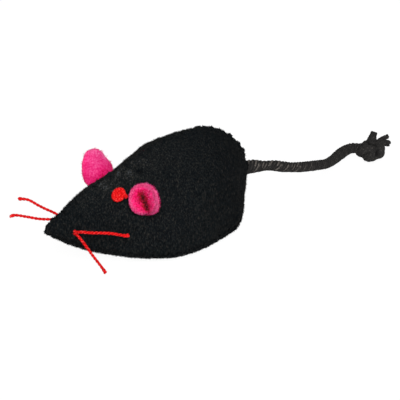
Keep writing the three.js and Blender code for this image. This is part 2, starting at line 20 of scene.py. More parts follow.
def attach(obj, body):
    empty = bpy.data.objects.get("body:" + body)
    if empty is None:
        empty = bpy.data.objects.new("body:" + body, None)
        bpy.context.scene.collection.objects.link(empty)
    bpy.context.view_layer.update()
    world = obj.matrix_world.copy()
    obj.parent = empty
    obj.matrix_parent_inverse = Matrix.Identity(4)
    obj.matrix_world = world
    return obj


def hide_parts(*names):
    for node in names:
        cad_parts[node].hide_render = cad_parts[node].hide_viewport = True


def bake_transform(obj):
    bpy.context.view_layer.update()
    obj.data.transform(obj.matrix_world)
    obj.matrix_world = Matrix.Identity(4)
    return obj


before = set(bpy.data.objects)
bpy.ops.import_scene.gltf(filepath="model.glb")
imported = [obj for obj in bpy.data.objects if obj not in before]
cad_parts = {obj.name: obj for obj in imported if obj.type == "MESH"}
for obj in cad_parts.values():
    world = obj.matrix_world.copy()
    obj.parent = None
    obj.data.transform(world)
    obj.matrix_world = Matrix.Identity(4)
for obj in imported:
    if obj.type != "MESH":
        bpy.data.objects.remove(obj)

Array = np.ndarray
Pair = tuple[float, float]
Place = tuple[float, float, float]
LOG = logging.getLogger("catnip_mouse")
MM = 0.001
TURN = 2 * math.pi
WELD_MM = 1e-4
LEAST_LENGTH = 1e-12
LEAST_SHARE = 1e-6
SMALL_STEP = 1e-4
TIP_MARGIN = 1e-5
UP = np.array([0.0, 0.0, 1.0])
RIGHTWARD = np.array([0.0, 1.0, 0.0])
# Numbers of a colour mix node's sockets, which share their names with its sockets for other data
MIX_SHARE, MIX_FIRST, MIX_SECOND, MIX_RESULT = 0, 6, 7, 2


class Side(Enum):
    """The mouse's two sides, by the sign of their Y."""

    LEFT = -1.0
    RIGHT = 1.0


class Moves(Enum):
    """The bodies that pieces ride on."""

    TRUNK = "body"
    LEFT_EAR = "ear_left"
    RIGHT_EAR = "ear_right"
    TAIL_ROOT = "root"
    TAIL = "tail"


def linear(hex_colour: str) -> tuple[float, ...]:
    """Turns an sRGB colour into linear light.

    Args:
        hex_colour: The colour as #RRGGBB.

    Returns:
        Red, green, blue and alpha.
    """
    srgb = np.array([int(hex_colour[i : i + 2], 16) for i in (1, 3, 5)]) / 255
    light = np.where(srgb <= 0.04045, srgb / 12.92, ((srgb + 0.055) / 1.055) ** 2.4)
    return (*light.tolist(), 1.0)


def per_mm(size: float) -> float:
    """The texture scale, in waves per metre, of a pattern of that size in millimetres."""
    return 1.0 / (size * MM)


def add_node(
    tree: bpy.types.NodeTree,
    kind: str,
    feeds: dict[Any, Any] | None = None,
    stops: Sequence[tuple[float, str]] = (),
    **settings: Any,
) -> bpy.types.Node:
    """Adds one node with its settings, input values and links.

    Args:
        tree: The material's or world's node tree.
        kind: Blender's name for the node's type.
        feeds: Input sockets by name or number, each with a value or with the output that feeds it.
        stops: Places and sRGB colours of a colour ramp.
        **settings: The node's own properties.

    Returns:
        The new node.
    """
    node = tree.nodes.new(kind)
    for key, value in settings.items():
        setattr(node, key, value)
    for key, value in (feeds or {}).items():
        if isinstance(value, bpy.types.NodeSocket):
            tree.links.new(value, node.inputs[key])
        else:
            node.inputs[key].default_value = value
    if stops:
        ramp = node.color_ramp.elements
        while len(ramp) < len(stops):
            ramp.new(1.0)
        for element, (place, colour) in zip(ramp, stops):
            element.position = place
            element.color = linear(colour)
    return node


def new_material(name: str) -> tuple[bpy.types.Material, bpy.types.NodeTree]:
    """Makes an empty node material.

    Args:
        name: The real material's name.

    Returns:
        The material and its cleared node tree.
    """
    material = bpy.data.materials.new(name)
    material.use_nodes = True
    material.node_tree.nodes.clear()
    return material, material.node_tree


def speckled_colour(
    tree: bpy.types.NodeTree,
    place: bpy.types.NodeSocket,
    size_mm: float,
    share: float,
    stops: Sequence[tuple[float, str]],
) -> tuple[bpy.types.NodeSocket, bpy.types.NodeSocket]:
    """Colours a surface by its tone, which a noise swings up and down.

    Args:
        tree: The material's node tree.
        place: Where the noise is read.
        size_mm: The size of its speckles.
        share: How far it swings the tone.
        stops: Tones from 0 to 1, each with its sRGB colour.

    Returns:
        The outputs of the colour and of the noise.
    """
    tone = add_node(tree, "ShaderNodeAttribute", attribute_name="tone").outputs["Fac"]
    noise = add_node(
        tree,
        "ShaderNodeTexNoise",
        {"Vector": place, "Scale": per_mm(size_mm), "Detail": 3.0, "Roughness": 0.6},
    ).outputs["Fac"]
    swing = add_node(
        tree,
        "ShaderNodeMapRange",
        {"Value": noise, "From Min": 0.3, "From Max": 0.7, "To Min": -share, "To Max": share},
    )
    mixed = add_node(tree, "ShaderNodeMath", {0: tone, 1: swing.outputs[0]}, operation="ADD", use_clamp=True)
    ramp = add_node(tree, "ShaderNodeValToRGB", {"Fac": mixed.outputs[0]}, stops)
    return ramp.outputs["Color"], noise


@dataclass(frozen=True, kw_only=True)
class Cloth:
    """What every cloth finish has: a name, a relief in millimetres, a dull shine and a faint sheen."""

    name: str
    relief_mm: float
    bump: float
    roughness: float
    specular: float
    sheen: float = 0.1
    sheen_roughness: float = 0.5

    def shade(
        self, tree: bpy.types.NodeTree, colour: bpy.types.NodeSocket, height: bpy.types.NodeSocket, tint: str
    ) -> None:
        """Leads a colour and a relief to the material's output.

        Args:
            tree: The material's node tree.
            colour: The colour's output.
            height: The relief's output.
            tint: The sheen's sRGB colour.
        """
        relief = add_node(
            tree,
            "ShaderNodeBump",
            {"Height": height, "Strength": self.bump, "Distance": self.relief_mm * MM},
        )
        shader = add_node(
            tree,
            "ShaderNodeBsdfPrincipled",
            {
                "Base Color": colour,
                "Roughness": self.roughness,
                "Specular IOR Level": self.specular,
                "Sheen Weight": self.sheen,
                "Sheen Roughness": self.sheen_roughness,
                "Sheen Tint": linear(tint),
                "Normal": relief.outputs[0],
            },
        )
        add_node(tree, "ShaderNodeOutputMaterial", {"Surface": shader.outputs[0]})


@dataclass(frozen=True, kw_only=True)
class FeltFinish(Cloth):
    """A matt mat of short fibres, such as felt, wadding or crumbled leaf: mottled, with paler fibre ends."""

    tones: tuple[tuple[float, str], ...]
    fibre_end: str
    fibre_share: float
    mottle_mm: float
    mottle_share: float
    fibre_mm: float
    nap: Place = (1.0, 1.0, 1.0)
    bump: float = 0.8
    roughness: float = 0.95
    specular: float = 0.08

    def material(self) -> bpy.types.Material:
        """Builds the felt: tone and a mottle pick its colour, and a finer noise pales and raises its fibres.

        Both patterns are drawn out along the nap, by scaling the place that they are read at.

        Returns:
            The material.
        """
        material, tree = new_material(self.name)
        flat = add_node(tree, "ShaderNodeTexCoord").outputs["Object"]
        stretch = add_node(tree, "ShaderNodeVectorMath", {0: flat, 1: self.nap}, operation="MULTIPLY")
        place = stretch.outputs[0]
        colour, _ = speckled_colour(tree, place, self.mottle_mm, self.mottle_share, self.tones)
        fibre = add_node(
            tree,
            "ShaderNodeTexNoise",
            {
                "Vector": place,
                "Scale": per_mm(self.fibre_mm),
                "Detail": 4.0,
                "Roughness": 0.65,
                "Distortion": 0.8,
            },
        ).outputs["Fac"]
        pale = add_node(
            tree,
            "ShaderNodeMapRange",
            {"Value": fibre, "From Min": 0.52, "From Max": 0.78, "To Min": 0.0, "To Max": self.fibre_share},
        )
        napped = add_node(
            tree,
            "ShaderNodeMix",
            {MIX_SHARE: pale.outputs[0], MIX_FIRST: colour, MIX_SECOND: linear(self.fibre_end)},
            data_type="RGBA",
        )
        self.shade(tree, napped.outputs[MIX_RESULT], fibre, self.fibre_end)
        return material


@dataclass(frozen=True, kw_only=True)
class YarnFinish(Cloth):
    """Spun yarn: matt twisted fibre, with painted shade in the grooves of its twist and painted highlights on
    its crowns.
    """

    # The groove colour is painted shade, the crown and streak colours are painted highlights, and the base is
    # the yarn's own colour
    groove: str
    base: str
    crown: str
    streak: str
    fleck_mm: float
    fleck_share: float = 0.2
    bump: float = 0.6
    roughness: float = 0.85
    specular: float = 0.1

    def material(self) -> bpy.types.Material:
        """Builds the yarn: the point's tone runs from groove to crown, and noise flecks and roughens it.

        Returns:
            The material.
        """
        material, tree = new_material(self.name)
        place = add_node(tree, "ShaderNodeTexCoord").outputs["Object"]
        tones = ((0.0, self.groove), (0.4, self.base), (0.75, self.crown), (1.0, self.streak))
        colour, fleck = speckled_colour(tree, place, self.fleck_mm, self.fleck_share, tones)
        self.shade(tree, colour, fleck, self.crown)
        return material


@dataclass
class Shell:
    """A closed surface: points in millimetres, arrays of faces, and a tone from 0 to 1 at each point."""

    points: Array
    faces: list[Array]
    tone: Array

    def outward(self) -> "Shell":
        """Turns the faces over where they enclose a negative volume.

        Returns:
            The shell itself, with its faces pointing outwards.
        """
        volume = 0.0
        for faces in self.faces:
            corner = self.points[faces]
            for k in range(1, faces.shape[1] - 1):
                volume += (corner[:, 0] * np.cross(corner[:, k], corner[:, k + 1])).sum()
        if volume < 0:
            self.faces = [faces[:, ::-1] for faces in self.faces]
        return self


def make_piece(name: str, shells: Sequence[Shell], material: bpy.types.Material) -> bpy.types.Object:
    """Makes one mesh object at the origin out of shells, with their points welded and shaded smooth.

    Args:
        name: The piece's name.
        shells: The surfaces that it is made of.
        material: Its finish.

    Returns:
        The new object.
    """
    starts = np.cumsum([0, *(len(shell.points) for shell in shells)])
    faces = [f + start for shell, start in zip(shells, starts) for f in shell.faces]
    points = np.concatenate([shell.points for shell in shells]) * MM
    counts = np.concatenate([np.full(len(f), f.shape[1]) for f in faces])
    mesh = bpy.data.meshes.new(name)
    mesh.vertices.add(len(points))
    mesh.vertices.foreach_set("co", points.astype(np.float32).ravel())
    mesh.loops.add(int(counts.sum()))
    mesh.loops.foreach_set("vertex_index", np.concatenate([f.ravel() for f in faces]).astype(np.int32))
    mesh.polygons.add(len(counts))
    mesh.polygons.foreach_set("loop_start", (np.cumsum(counts) - counts).astype(np.int32))
    mesh.update(calc_edges=True)
    tone = mesh.attributes.new("tone", "FLOAT", "POINT")
    tone.data.foreach_set("value", np.concatenate([shell.tone for shell in shells]).astype(np.float32))
    edit = bmesh.new()
    edit.from_mesh(mesh)
    bmesh.ops.remove_doubles(edit, verts=edit.verts, dist=WELD_MM * MM)
    loose = [edge for edge in edit.edges if not edge.link_faces]
    bmesh.ops.delete(edit, geom=loose, context="EDGES")
    edit.to_mesh(mesh)
    edit.free()
    mesh.polygons.foreach_set("use_smooth", np.ones(len(mesh.polygons), bool))
    mesh.materials.append(material)
    piece = bpy.data.objects.new(name, mesh)
    bpy.context.scene.collection.objects.link(piece)
    LOG.info("%s: %d points, %d faces", name, len(mesh.vertices), len(mesh.polygons))
    return piece


def place_piece(piece: bpy.types.Object, body: Moves, slot: str, *nodes: str) -> bpy.types.Object:
    """Puts a piece on a body and hides the solids that it stands for.

    Args:
        piece: The piece.
        body: The body that it rides on.
        slot: Not used.
        *nodes: The solids that it replaces.

    Returns:
        The piece.
    """
    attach(piece, body.value)
    if nodes:
        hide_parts(*nodes)
    return piece


def unit(vectors: Array) -> Array:
    """Vectors of length one, in the same directions."""
    return vectors / np.maximum(np.linalg.norm(vectors, axis=-1, keepdims=True), LEAST_LENGTH)


def bell(distance: Array, spread: float | Array) -> Array:
    """A bell curve: e to the minus the square of the distance over its spread."""
    return np.exp(-((distance / spread) ** 2))


def smooth_step(value: Array, low: float | Array, high: float | Array) -> Array:
    """A ramp from 0 at low to 1 at high with level ends: 3x^2 - 2x^3 of the share x between them."""
    share = np.clip((value - low) / (high - low), 0, 1)
    return share * share * (3 - 2 * share)


def eased(value: Array, knots: Sequence[Pair]) -> Array:
    """Values between knots, led from each knot to the next by a ramp with level ends.

    Args:
        value: Where to read.
        knots: Places in rising order, each with its value.

    Returns:
        The values there.
    """
    places, values = np.array(knots, float).T
    index = np.clip(np.searchsorted(places, value, side="right") - 1, 0, len(places) - 2)
    share = smooth_step(value, places[index], places[index + 1])
    return values[index] + share * (values[index + 1] - values[index])


def wave_mean(points: Array, waves: Sequence[Sequence[float]]) -> Array:
    """The mean of sine waves that cross each other.

    Args:
        points: Where to read them.
        waves: For each wave its turns per millimetre along x, y and z, and its angle at the origin.

    Returns:
        Values from -1 to 1.
    """
    *turns, starts = np.array(waves, float).T
    return np.sin(TURN * points @ np.array(turns) + starts).mean(-1)


def turn_angles(count: int) -> Array:
    """Angles at even steps round one full turn."""
    return np.arange(count) * TURN / count


def ball_grid(rows: int, columns: int) -> tuple[Array, Array, Array]:
    """A ball of radius one with its poles on the third axis.

    Args:
        rows: Rows from pole to pole.
        columns: Points round each row.

    Returns:
        The points, the angle from the first pole as a column, and the angle round the axis as a row.
    """
    polar = np.linspace(0, math.pi, rows)[:, None]
    turn = turn_angles(columns)[None, :]
    ball = [np.sin(polar) * np.cos(turn), np.sin(polar) * np.sin(turn), np.cos(polar) + 0 * turn]
    return np.stack(ball, -1), polar, turn


def grid_faces(rows: int, columns: int, wrap: bool = False) -> Array:
    """Quads between neighbouring rows and columns of a grid of points.

    Args:
        rows: The number of rows.
        columns: The number of columns.
        wrap: Whether the last column joins the first.

    Returns:
        Four point numbers for each quad.
    """
    row = np.arange(rows - 1)[:, None] * columns
    here = np.arange(columns if wrap else columns - 1)[None, :]
    after = (here + 1) % columns
    corners = [row + here, row + after, row + columns + after, row + columns + here]
    return np.stack(corners, -1).reshape(-1, 4)


def wrapped_shell(points: Array, tone: Array) -> Shell:
    """A shell from a grid whose columns close on themselves and whose first and last rows are poles.

    Args:
        points: Rows by columns by 3.
        tone: Rows by columns.

    Returns:
        The closed shell.
    """
    rows, columns = points.shape[:2]
    return Shell(points.reshape(-1, 3), [grid_faces(rows, columns, wrap=True)], tone.ravel()).outward()


def capped_shell(rings: Array, tone: Array) -> Shell:
    """A shell from the rings of a tube, closed at each end by a pole in the middle of the end ring.

    Args:
        rings: Stations by sides by 3.
        tone: Stations by sides.

    Returns:
        The closed shell.
    """
    first, last = (np.broadcast_to(ring.mean(axis=0), ring.shape)[None] for ring in (rings[0], rings[-1]))
    return wrapped_shell(np.concatenate([first, rings, last]), np.concatenate([tone[:1], tone, tone[-1:]]))


def sheet_shell(outer: Array, inner: Array, tone: Array) -> Shell:
    """A shell from the two faces of a sheet, joined all round their edge.

    Args:
        outer: Rows by columns by 3, one face of the sheet.
        inner: The other face, point for point.
        tone: Rows by columns, used on both faces.

    Returns:
        The closed shell.
    """
    rows, columns = outer.shape[:2]
    count = rows * columns
    top = grid_faces(rows, columns)
    index = np.arange(count).reshape(rows, columns)
    rim = np.concatenate([index[0, :-1], index[:-1, -1], index[-1, :0:-1], index[:0:-1, 0]])
    after = np.roll(rim, -1)
    wall = np.stack([after, rim, rim + count, after + count], -1)
    points = np.concatenate([outer.reshape(-1, 3), inner.reshape(-1, 3)])
    return Shell(points, [top, top[:, ::-1] + count, wall], np.concatenate([tone.ravel()] * 2)).outward()


def grid_crosses(points: Array) -> Array:
    """Cross products of a grid's steps: square to the grid, and as long as each patch's area."""
    return np.cross(np.gradient(points, axis=0), np.gradient(points, axis=1))


def arc_lengths(points: Array, axis: int = 0) -> Array:
    """Lengths along lines of points, each from its first point: the running sum of the steps.

    Args:
        points: A line of points, or a grid of them.
        axis: The axis along which the lines run.

    Returns:
        The length at each point.
    """
    steps = np.linalg.norm(np.diff(points, axis=axis), axis=-1)
    first = np.zeros_like(np.take(steps, [0], axis=axis))
    return np.concatenate([first, np.cumsum(steps, axis=axis)], axis=axis)


def resampled(curve: Array, spacing: float) -> Array:
    """A line of points with even steps along the same line.

    Args:
        curve: The line's points.
        spacing: The wanted step, which is stretched a little to fit the line's length.

    Returns:
        The new points.
    """
    length = arc_lengths(curve)
    wanted = np.linspace(0, length[-1], max(int(round(length[-1] / spacing)), 2) + 1)
    return np.stack([np.interp(wanted, length, curve[:, k]) for k in range(3)], -1)


def even_path(points: Sequence[Sequence[float]], spacing: float, fineness: int = 60) -> Array:
    """A smooth path through points, at even steps.

    Between two points the path is a cubic whose end slopes weigh each neighbouring step by the square root
    of its length, so that it neither loops nor overshoots.

    Args:
        points: The points, in millimetres.
        spacing: The step between points of the path.
        fineness: Points worked out between two of the given ones, before the steps are made even.

    Returns:
        The path's points.
    """
    knots = np.asarray(points, float)
    knots = np.concatenate([2 * knots[:1] - knots[1:2], knots, 2 * knots[-1:] - knots[-2:-1]])
    step = np.linalg.norm(np.diff(knots, axis=0), axis=1)[:, None] ** 0.5
    before, here, after = step[:-2], step[1:-1], step[2:]
    p0, p1, p2, p3 = knots[:-3], knots[1:-2], knots[2:-1], knots[3:]
    start = here * ((p1 - p0) / before - (p2 - p0) / (before + here) + (p2 - p1) / here)
    end = here * ((p2 - p1) / here - (p3 - p1) / (here + after) + (p3 - p2) / after)
    u = np.linspace(0, 1, fineness, endpoint=False)[None, :, None]
    p1, p2, start, end = (part[:, None, :] for part in (p1, p2, start, end))
    curve = (2 * u**3 - 3 * u**2 + 1) * p1 + (u**3 - 2 * u**2 + u) * start
    curve = curve + (3 * u**2 - 2 * u**3) * p2 + (u**3 - u**2) * end
    return resampled(np.concatenate([curve.reshape(-1, 3), knots[-2:-1]]), spacing)


def path_axes(path: Array, reference: Array = UP) -> tuple[Array, Array]:
    """Two directions square to a path and to each other.

    Args:
        path: The path's points.
        reference: A direction that the path never follows.

    Returns:
        The direction square to the reference, and the one as near as can be to it.
    """
    along = unit(np.gradient(path, axis=0))
    sideways = unit(np.cross(np.broadcast_to(reference, along.shape), along))
    return sideways, np.cross(along, sideways)


def tube_shell(path: Array, radius: float | Array, sides: int, reference: Array, tone: float) -> Shell:
    """A plain round thread along a path, closed at its ends.

    Args:
        path: Points of the thread's middle line.
        radius: The thread's radius, all along or at each point.
        sides: Points round its section.
        reference: A direction that the path never follows.
        tone: The tone of its surface.

    Returns:
        The closed shell.
    """
    sideways, upright = path_axes(path, reference)
    angle = turn_angles(sides)[:, None]
    ring = np.cos(angle) * sideways[:, None] + np.sin(angle) * upright[:, None]
    rings = path[:, None] + ring * np.broadcast_to(radius, len(path))[:, None, None]
    return capped_shell(rings, np.full(rings.shape[:2], tone))


@dataclass
class Fleece:
    """A surface that fibres grow on: its points, its outward normals and its tones."""

    roots: Array
    normals: Array
    tones: Array


@dataclass(frozen=True)
class Fibres:
    """Loose fibre ends that stand out of a soft surface: each is a thin four-faced spike."""

    count: int
    shortest: float
    longest: float
    width: float
    lean: float
    tone: Pair
    least_lean: float = 0.2

    def shell(self, fleece: Fleece, weight: Array, draw: np.random.Generator) -> Shell:
        """Grows fibres from randomly picked points of a surface.

        A fibre's tip is its root plus its length along the normal, leant over by a random part of the
        surface's plane; its foot is a small triangle just under the surface. Its tone is the surface's
        with a random part added.

        Args:
            fleece: The surface.
            weight: How readily each point is picked.
            draw: The seeded source of random numbers.

        Returns:
            All the fibres in one shell.
        """
        pick = draw.choice(len(fleece.roots), self.count, p=weight / weight.sum())
        root, normal = fleece.roots[pick], fleece.normals[pick]
        stray = draw.normal(0, 1, (self.count, 3))
        stray -= normal * (stray * normal).sum(1, keepdims=True)
        stray = unit(stray)
        third = np.cross(normal, stray)
        length = draw.uniform(self.shortest, self.longest, (self.count, 1))
        lean = draw.uniform(self.least_lean, 1.0, (self.count, 1)) * self.lean
        tip = root + length * unit(normal + lean * stray)
        angle = turn_angles(3)[None, :, None]
        spokes = np.cos(angle) * stray[:, None] + np.sin(angle) * third[:, None]
        feet = (root - normal * self.width)[:, None] + spokes * self.width / 2
        points = np.concatenate([feet, tip[:, None]], axis=1)
        corners = np.array([[0, 1, 3], [1, 2, 3], [2, 0, 3], [0, 2, 1]])
        faces = np.arange(self.count)[:, None, None] * 4 + corners[None]
        tone = np.clip(fleece.tones[pick] + draw.uniform(*self.tone, self.count), 0, 1)
        return Shell(points.reshape(-1, 3), [faces.reshape(-1, 3)], np.repeat(tone, 4))

    def evenly(self, fleece: Fleece, seed: int) -> Shell:
        """Grows fibres all over a surface, from each of its points alike."""
        return self.shell(fleece, np.ones(len(fleece.roots)), np.random.default_rng(seed))


@dataclass(frozen=True)
class Twist:
    """Strands laid round a core: their number, the cord's radius, a strand's radius and the lay."""

    strands: int
    radius: float
    strand: float
    lay: float
    yarns: int = 4
    yarn_groove: float = 0.06
    yarn_lay: float = 3.0
    sides: int = 12
    core: bool = True
    level: float = 0.4
    contrast: float = 1.0
    # Painted light on each strand: a highlight on the crown that faces out, and painted shade under it and in
    # the grooves between its yarns; streak sets the painted highlight of the dashes
    crown_tone: float = 0.45
    groove_tone: float = 0.2
    under_tone: float = 0.25
    streak: float = 0.0
    # Painted highlights as pale dashes on the crowns: the lengths of two waves along a strand and their step
    # from one strand to the next, the limits between which their sum shows, and where along the cord the
    # dashes fade and by how much
    dash_waves: tuple[Pair, ...] = ((9.7, 0.37), (4.3, 0.61))
    dash_limits: Pair = (0.2, 1.0)
    dash_narrowness: int = 16
    dash_fade_from: Pair = (31.0, 43.0)
    dash_fade: float = 0.8

    def dashes(self, run: Array) -> Array:
        """How far painted highlights pale the strands' crowns: two waves, out of step from strand to strand,
        fainter further along the cord.

        Args:
            run: The length of cord at each station.

        Returns:
            Strands by stations, from 0 to 1.
        """
        strand = np.arange(self.strands)[:, None]
        beat = sum(np.sin(TURN * (run / length + step * strand)) for length, step in self.dash_waves)
        return smooth_step(beat, *self.dash_limits) * (1 - self.dash_fade * smooth_step(run, *self.dash_fade_from))

    def surfaces(
        self, path: Array, start: float, reference: Array, girth: Array
    ) -> tuple[Array, Array, Array]:
        """Works out the strands' surfaces along a path.

        A strand's middle turns about the path at the cord's radius less its own, once in each lay. Round
        that middle its section is a circle with shallow grooves between its yarns.

        Args:
            path: Points of the cord's middle line at even steps.
            start: The length of cord before the path's first point, so that the lay runs on.
            reference: A direction that the path never follows.
            girth: A factor on the cord's thickness at each point of the path.

        Returns:
            Points and outward normals, strands by stations by sides by 3, and tones without the last axis.
        """
        run = start + arc_lengths(path)
        sideways, upright = path_axes(path, reference)
        turn = TURN * (np.arange(self.strands)[:, None] / self.strands - run[None, :] / self.lay)
        spoke = np.cos(turn)[..., None] * sideways + np.sin(turn)[..., None] * upright
        middle = path + spoke * ((self.radius - self.strand) * girth)[None, :, None]
        along = unit(np.gradient(middle, axis=1))
        outward = unit(spoke - along * (spoke * along).sum(-1, keepdims=True))
        third = np.cross(along, outward)
        angle = turn_angles(self.sides)
        groove = np.cos(self.yarns * angle[None, :] + TURN * run[:, None] / self.yarn_lay)
        around = np.cos(angle)[:, None] * outward[..., None, :] + np.sin(angle)[:, None] * third[..., None, :]
        section = self.strand * girth[:, None] * (1 + self.yarn_groove * groove)
        points = middle[..., None, :] + around * section[None, ..., None]
        # Painted light: the crown facing out is paler, the side under it and the yarns' grooves darker, and
        # the dashes are painted highlights
        crown = 0.5 + 0.5 * np.cos(angle)[None, :]
        relief = self.crown_tone * crown + self.groove_tone * groove - self.under_tone
        dashes = self.dashes(run)[..., None] * crown**self.dash_narrowness
        return points, around, np.clip(self.level + self.contrast * relief + self.streak * dashes, 0, 1)

    def shells(
        self, path: Array, start: float = 0.0, reference: Array = UP, girth: Array | None = None
    ) -> tuple[list[Shell], Fleece]:
        """Makes the strands as closed shells, and a plain core that they lie on.

        Args:
            path: Points of the cord's middle line at even steps.
            start: The length of cord before the path's first point.
            reference: A direction that the path never follows.
            girth: A factor on the cord's thickness at each point of the path.

        Returns:
            The shells, and the strands' surface for fibres to grow on.
        """
        girth = np.ones(len(path)) if girth is None else girth
        points, normals, tone = self.surfaces(path, start, reference, girth)
        shells = [capped_shell(strand, shade) for strand, shade in zip(points, tone)]
        # The core takes the darkest tone: painted shade between the strands
        if self.core:
            shells.append(tube_shell(path, (self.radius - self.strand) * girth, self.sides, reference, 0.0))
        return shells, Fleece(points.reshape(-1, 3), normals.reshape(-1, 3), tone.ravel())


@dataclass(frozen=True)
class BodyForm:
    """The sewn body's surface, in millimetres: t runs from 0 at the nose to pi at the rump."""

    length: float = 70.0
    width: float = 34.0
    back_rise: float = 31.7
    seam_height: float = 3.0
    nose_lift: float = 9.6
    rump_lift: float = 2.0
    belly_sag: float = 4.0
    back_lean: float = 0.12
    ridge: float = 0.1
    tip_power: float = 10.0
    felt: float = 1.6
    gap: float = 0.3
    nose_wall: float = 2.2
    rump_wall: float = 1.0
    back_swell: Pair = (0.73, 0.74)
    seam_swell: Pair = (1.37, 0.63)
    belly_swell: Pair = (0.6, 1.6)
    # How far hand-packed wadding pushes the felt out along the back, the flanks and the belly seams:
    # degrees from the nose, then millimetres
    back_fill: tuple[Pair, ...] = (
        (0, 0), (14, -0.2), (28, -0.9), (38, -0.55), (50, -0.5), (62, -0.6), (74, -0.75), (82, -0.6),
        (91, 0), (99, 0.3), (107, 0), (118, 0.38), (127, -0.05), (138, -0.4), (147, -0.1), (158, 0.7),
        (170, 0.4), (180, 0),
    )
    flank_fill: tuple[Pair, ...] = ((0, 0), (145, 0), (160, 0.6), (170, 0.4), (180, 0))
    belly_fill: tuple[Pair, ...] = (
        (0, 0), (12, 0.2), (24, -0.6), (36, -0.95), (48, -1.3), (62, -1.85), (72, -1.0), (81, -0.55),
        (93, 0.35), (102, -0.15), (112, -0.65), (124, -0.95), (132, -0.5), (141, 0.42), (150, 0.4),
        (158, 0.22), (168, 0.35), (180, 0),
    )
    back_spread: float = 0.42
    fill_spread: float = 0.26

    @staticmethod
    def swell(t: Array, powers: Pair) -> Array:
        """A hump over the length: sin(t) and sin(t/2), each to a power, with its top at 1.

        Args:
            t: The stations.
            powers: The powers of sin(t) and of sin(t/2).

        Returns:
            The hump's height at each station.
        """
        tips, nose = powers

        def shape(a: Array) -> Array:
            """The hump before its top is brought to 1."""
            return np.clip(np.sin(a), 0, None) ** tips * np.clip(np.sin(a / 2), 0, None) ** nose

        return shape(t) / shape(np.array(math.acos(-nose / (2 * tips + nose))))

    def seam(self, t: Array, inset: float = 0.0) -> Array:
        """The right belly seam: a cosine along the length, its swell across and its lifted tips.

        Args:
            t: The stations.
            inset: How far inside the felt's outer face.

        Returns:
            The seam's points.
        """
        front = -self.length / 2 + inset * self.nose_wall
        rear = self.length / 2 - inset * self.rump_wall
        lift = self.nose_lift * np.clip(np.cos(t / 2), 0, None) ** self.tip_power
        lift = lift + self.rump_lift * np.sin(t / 2) ** self.tip_power
        x = front + (rear - front) * (1 - np.cos(t)) / 2
        y = (self.width / 2 - inset) * self.swell(t, self.seam_swell)
        return np.stack([x, y, self.seam_height + lift], -1)

    def flank(self, t: Array, down: Array | float, side: Side, inset: float = 0.0) -> Array:
        """A flank: a quarter of an ellipse from the back seam to the belly seam, with a slight ridge.

        Args:
            t: The stations.
            down: Shares of the way from the back seam to the belly seam.
            side: The flank.
            inset: How far inside the felt's outer face.

        Returns:
            The flank's points.
        """
        t, down = np.broadcast_arrays(t, down)
        seam = self.seam(t, inset)
        rise = (self.back_rise - inset) * self.swell(t, self.back_swell)
        height = (1 - self.ridge) * np.cos(down * math.pi / 2) + self.ridge * (1 - down)
        across = (1 - self.ridge) * np.sin(down * math.pi / 2) + self.ridge * down
        x = seam[..., 0] + self.back_lean * rise * height
        plain = np.stack([x, seam[..., 1] * across, seam[..., 2] + rise * height], -1)
        full = plain + self.fullness(t, down)
        return full * [1, side.value, 1] + [0, side.value * self.gap / 2, 0]

    def outward(self, t: Array) -> tuple[Array, Array]:
        """Outward directions of the two seams, each square to its seam in the seam's own plane.

        Args:
            t: The stations.

        Returns:
            The directions of the back seam and of the right belly seam.
        """
        a, b = (np.clip(t + step, TIP_MARGIN, math.pi - TIP_MARGIN) for step in (-SMALL_STEP, SMALL_STEP))
        seam = self.seam(b) - self.seam(a)
        rise = self.back_rise * (self.swell(b, self.back_swell) - self.swell(a, self.back_swell))
        back = np.stack([-(seam[..., 2] + rise), 0 * rise, seam[..., 0] + self.back_lean * rise], -1)
        return unit(back), unit(np.stack([-seam[..., 1], seam[..., 0], 0 * rise], -1))

    def fullness(self, t: Array, down: Array) -> Array:
        """How the wadding moves the right flank: out from each seam by its fill, over a bell curve round it.

        Args:
            t: The stations.
            down: Shares of the way from the back seam to the belly seam.

        Returns:
            The move at each point.
        """
        degrees = np.degrees(t)
        back, belly = self.outward(t)
        near_back = bell(down, self.back_spread)
        near_belly = bell(1 - down, self.fill_spread)
        between = np.clip(1 - near_back - near_belly, 0, 1)
        sideways = near_belly * eased(degrees, self.belly_fill) + between * eased(degrees, self.flank_fill)
        return back * (near_back * eased(degrees, self.back_fill))[..., None] + belly * sideways[..., None]

    def belly(self, t: Array, across: Array, inset: float = 0.0) -> Array:
        """The belly: half an ellipse under the seams, pressed flat by the floor.

        Args:
            t: The stations.
            across: Shares of the way from the middle to the seams, from -1 to 1.
            inset: How far inside the felt's outer face.

        Returns:
            The belly's points.
        """
        t, across = np.broadcast_arrays(t, across)
        seam = self.seam(t, inset)
        arch = np.sqrt(np.clip(1 - across**2, 0, 1))
        sag = (self.belly_sag - inset) * self.swell(t, self.belly_swell) * arch
        height = np.maximum(seam[..., 2] - self.gap - sag, inset)
        edge = bell(1 - np.abs(across), self.fill_spread)
        push = self.fullness(t, np.ones_like(t)) * edge[..., None]
        x, y = seam[..., 0] + push[..., 0], seam[..., 1] * across + push[..., 1] * np.sign(across)
        return np.stack([x, y, height], -1)

    def seat(self, along: float, down: float, side: Side) -> tuple[Array, Array, Array, Array]:
        """A place on a flank.

        Args:
            along: Degrees from the nose.
            down: Share of the way from the back seam to the belly seam.
            side: The flank.

        Returns:
            The point, the outward normal, and the directions towards the rump and down the flank.
        """
        t, d, h = math.radians(along), down, SMALL_STEP
        ts, ds = np.array([t, t - h, t + h, t, t]), np.array([d, d, d, d - h, d + h])
        point, fore, aft, above, below = self.flank(ts, ds, side)
        rearward, downward = unit(aft - fore), unit(below - above)
        return point, side.value * np.cross(rearward, downward), rearward, downward


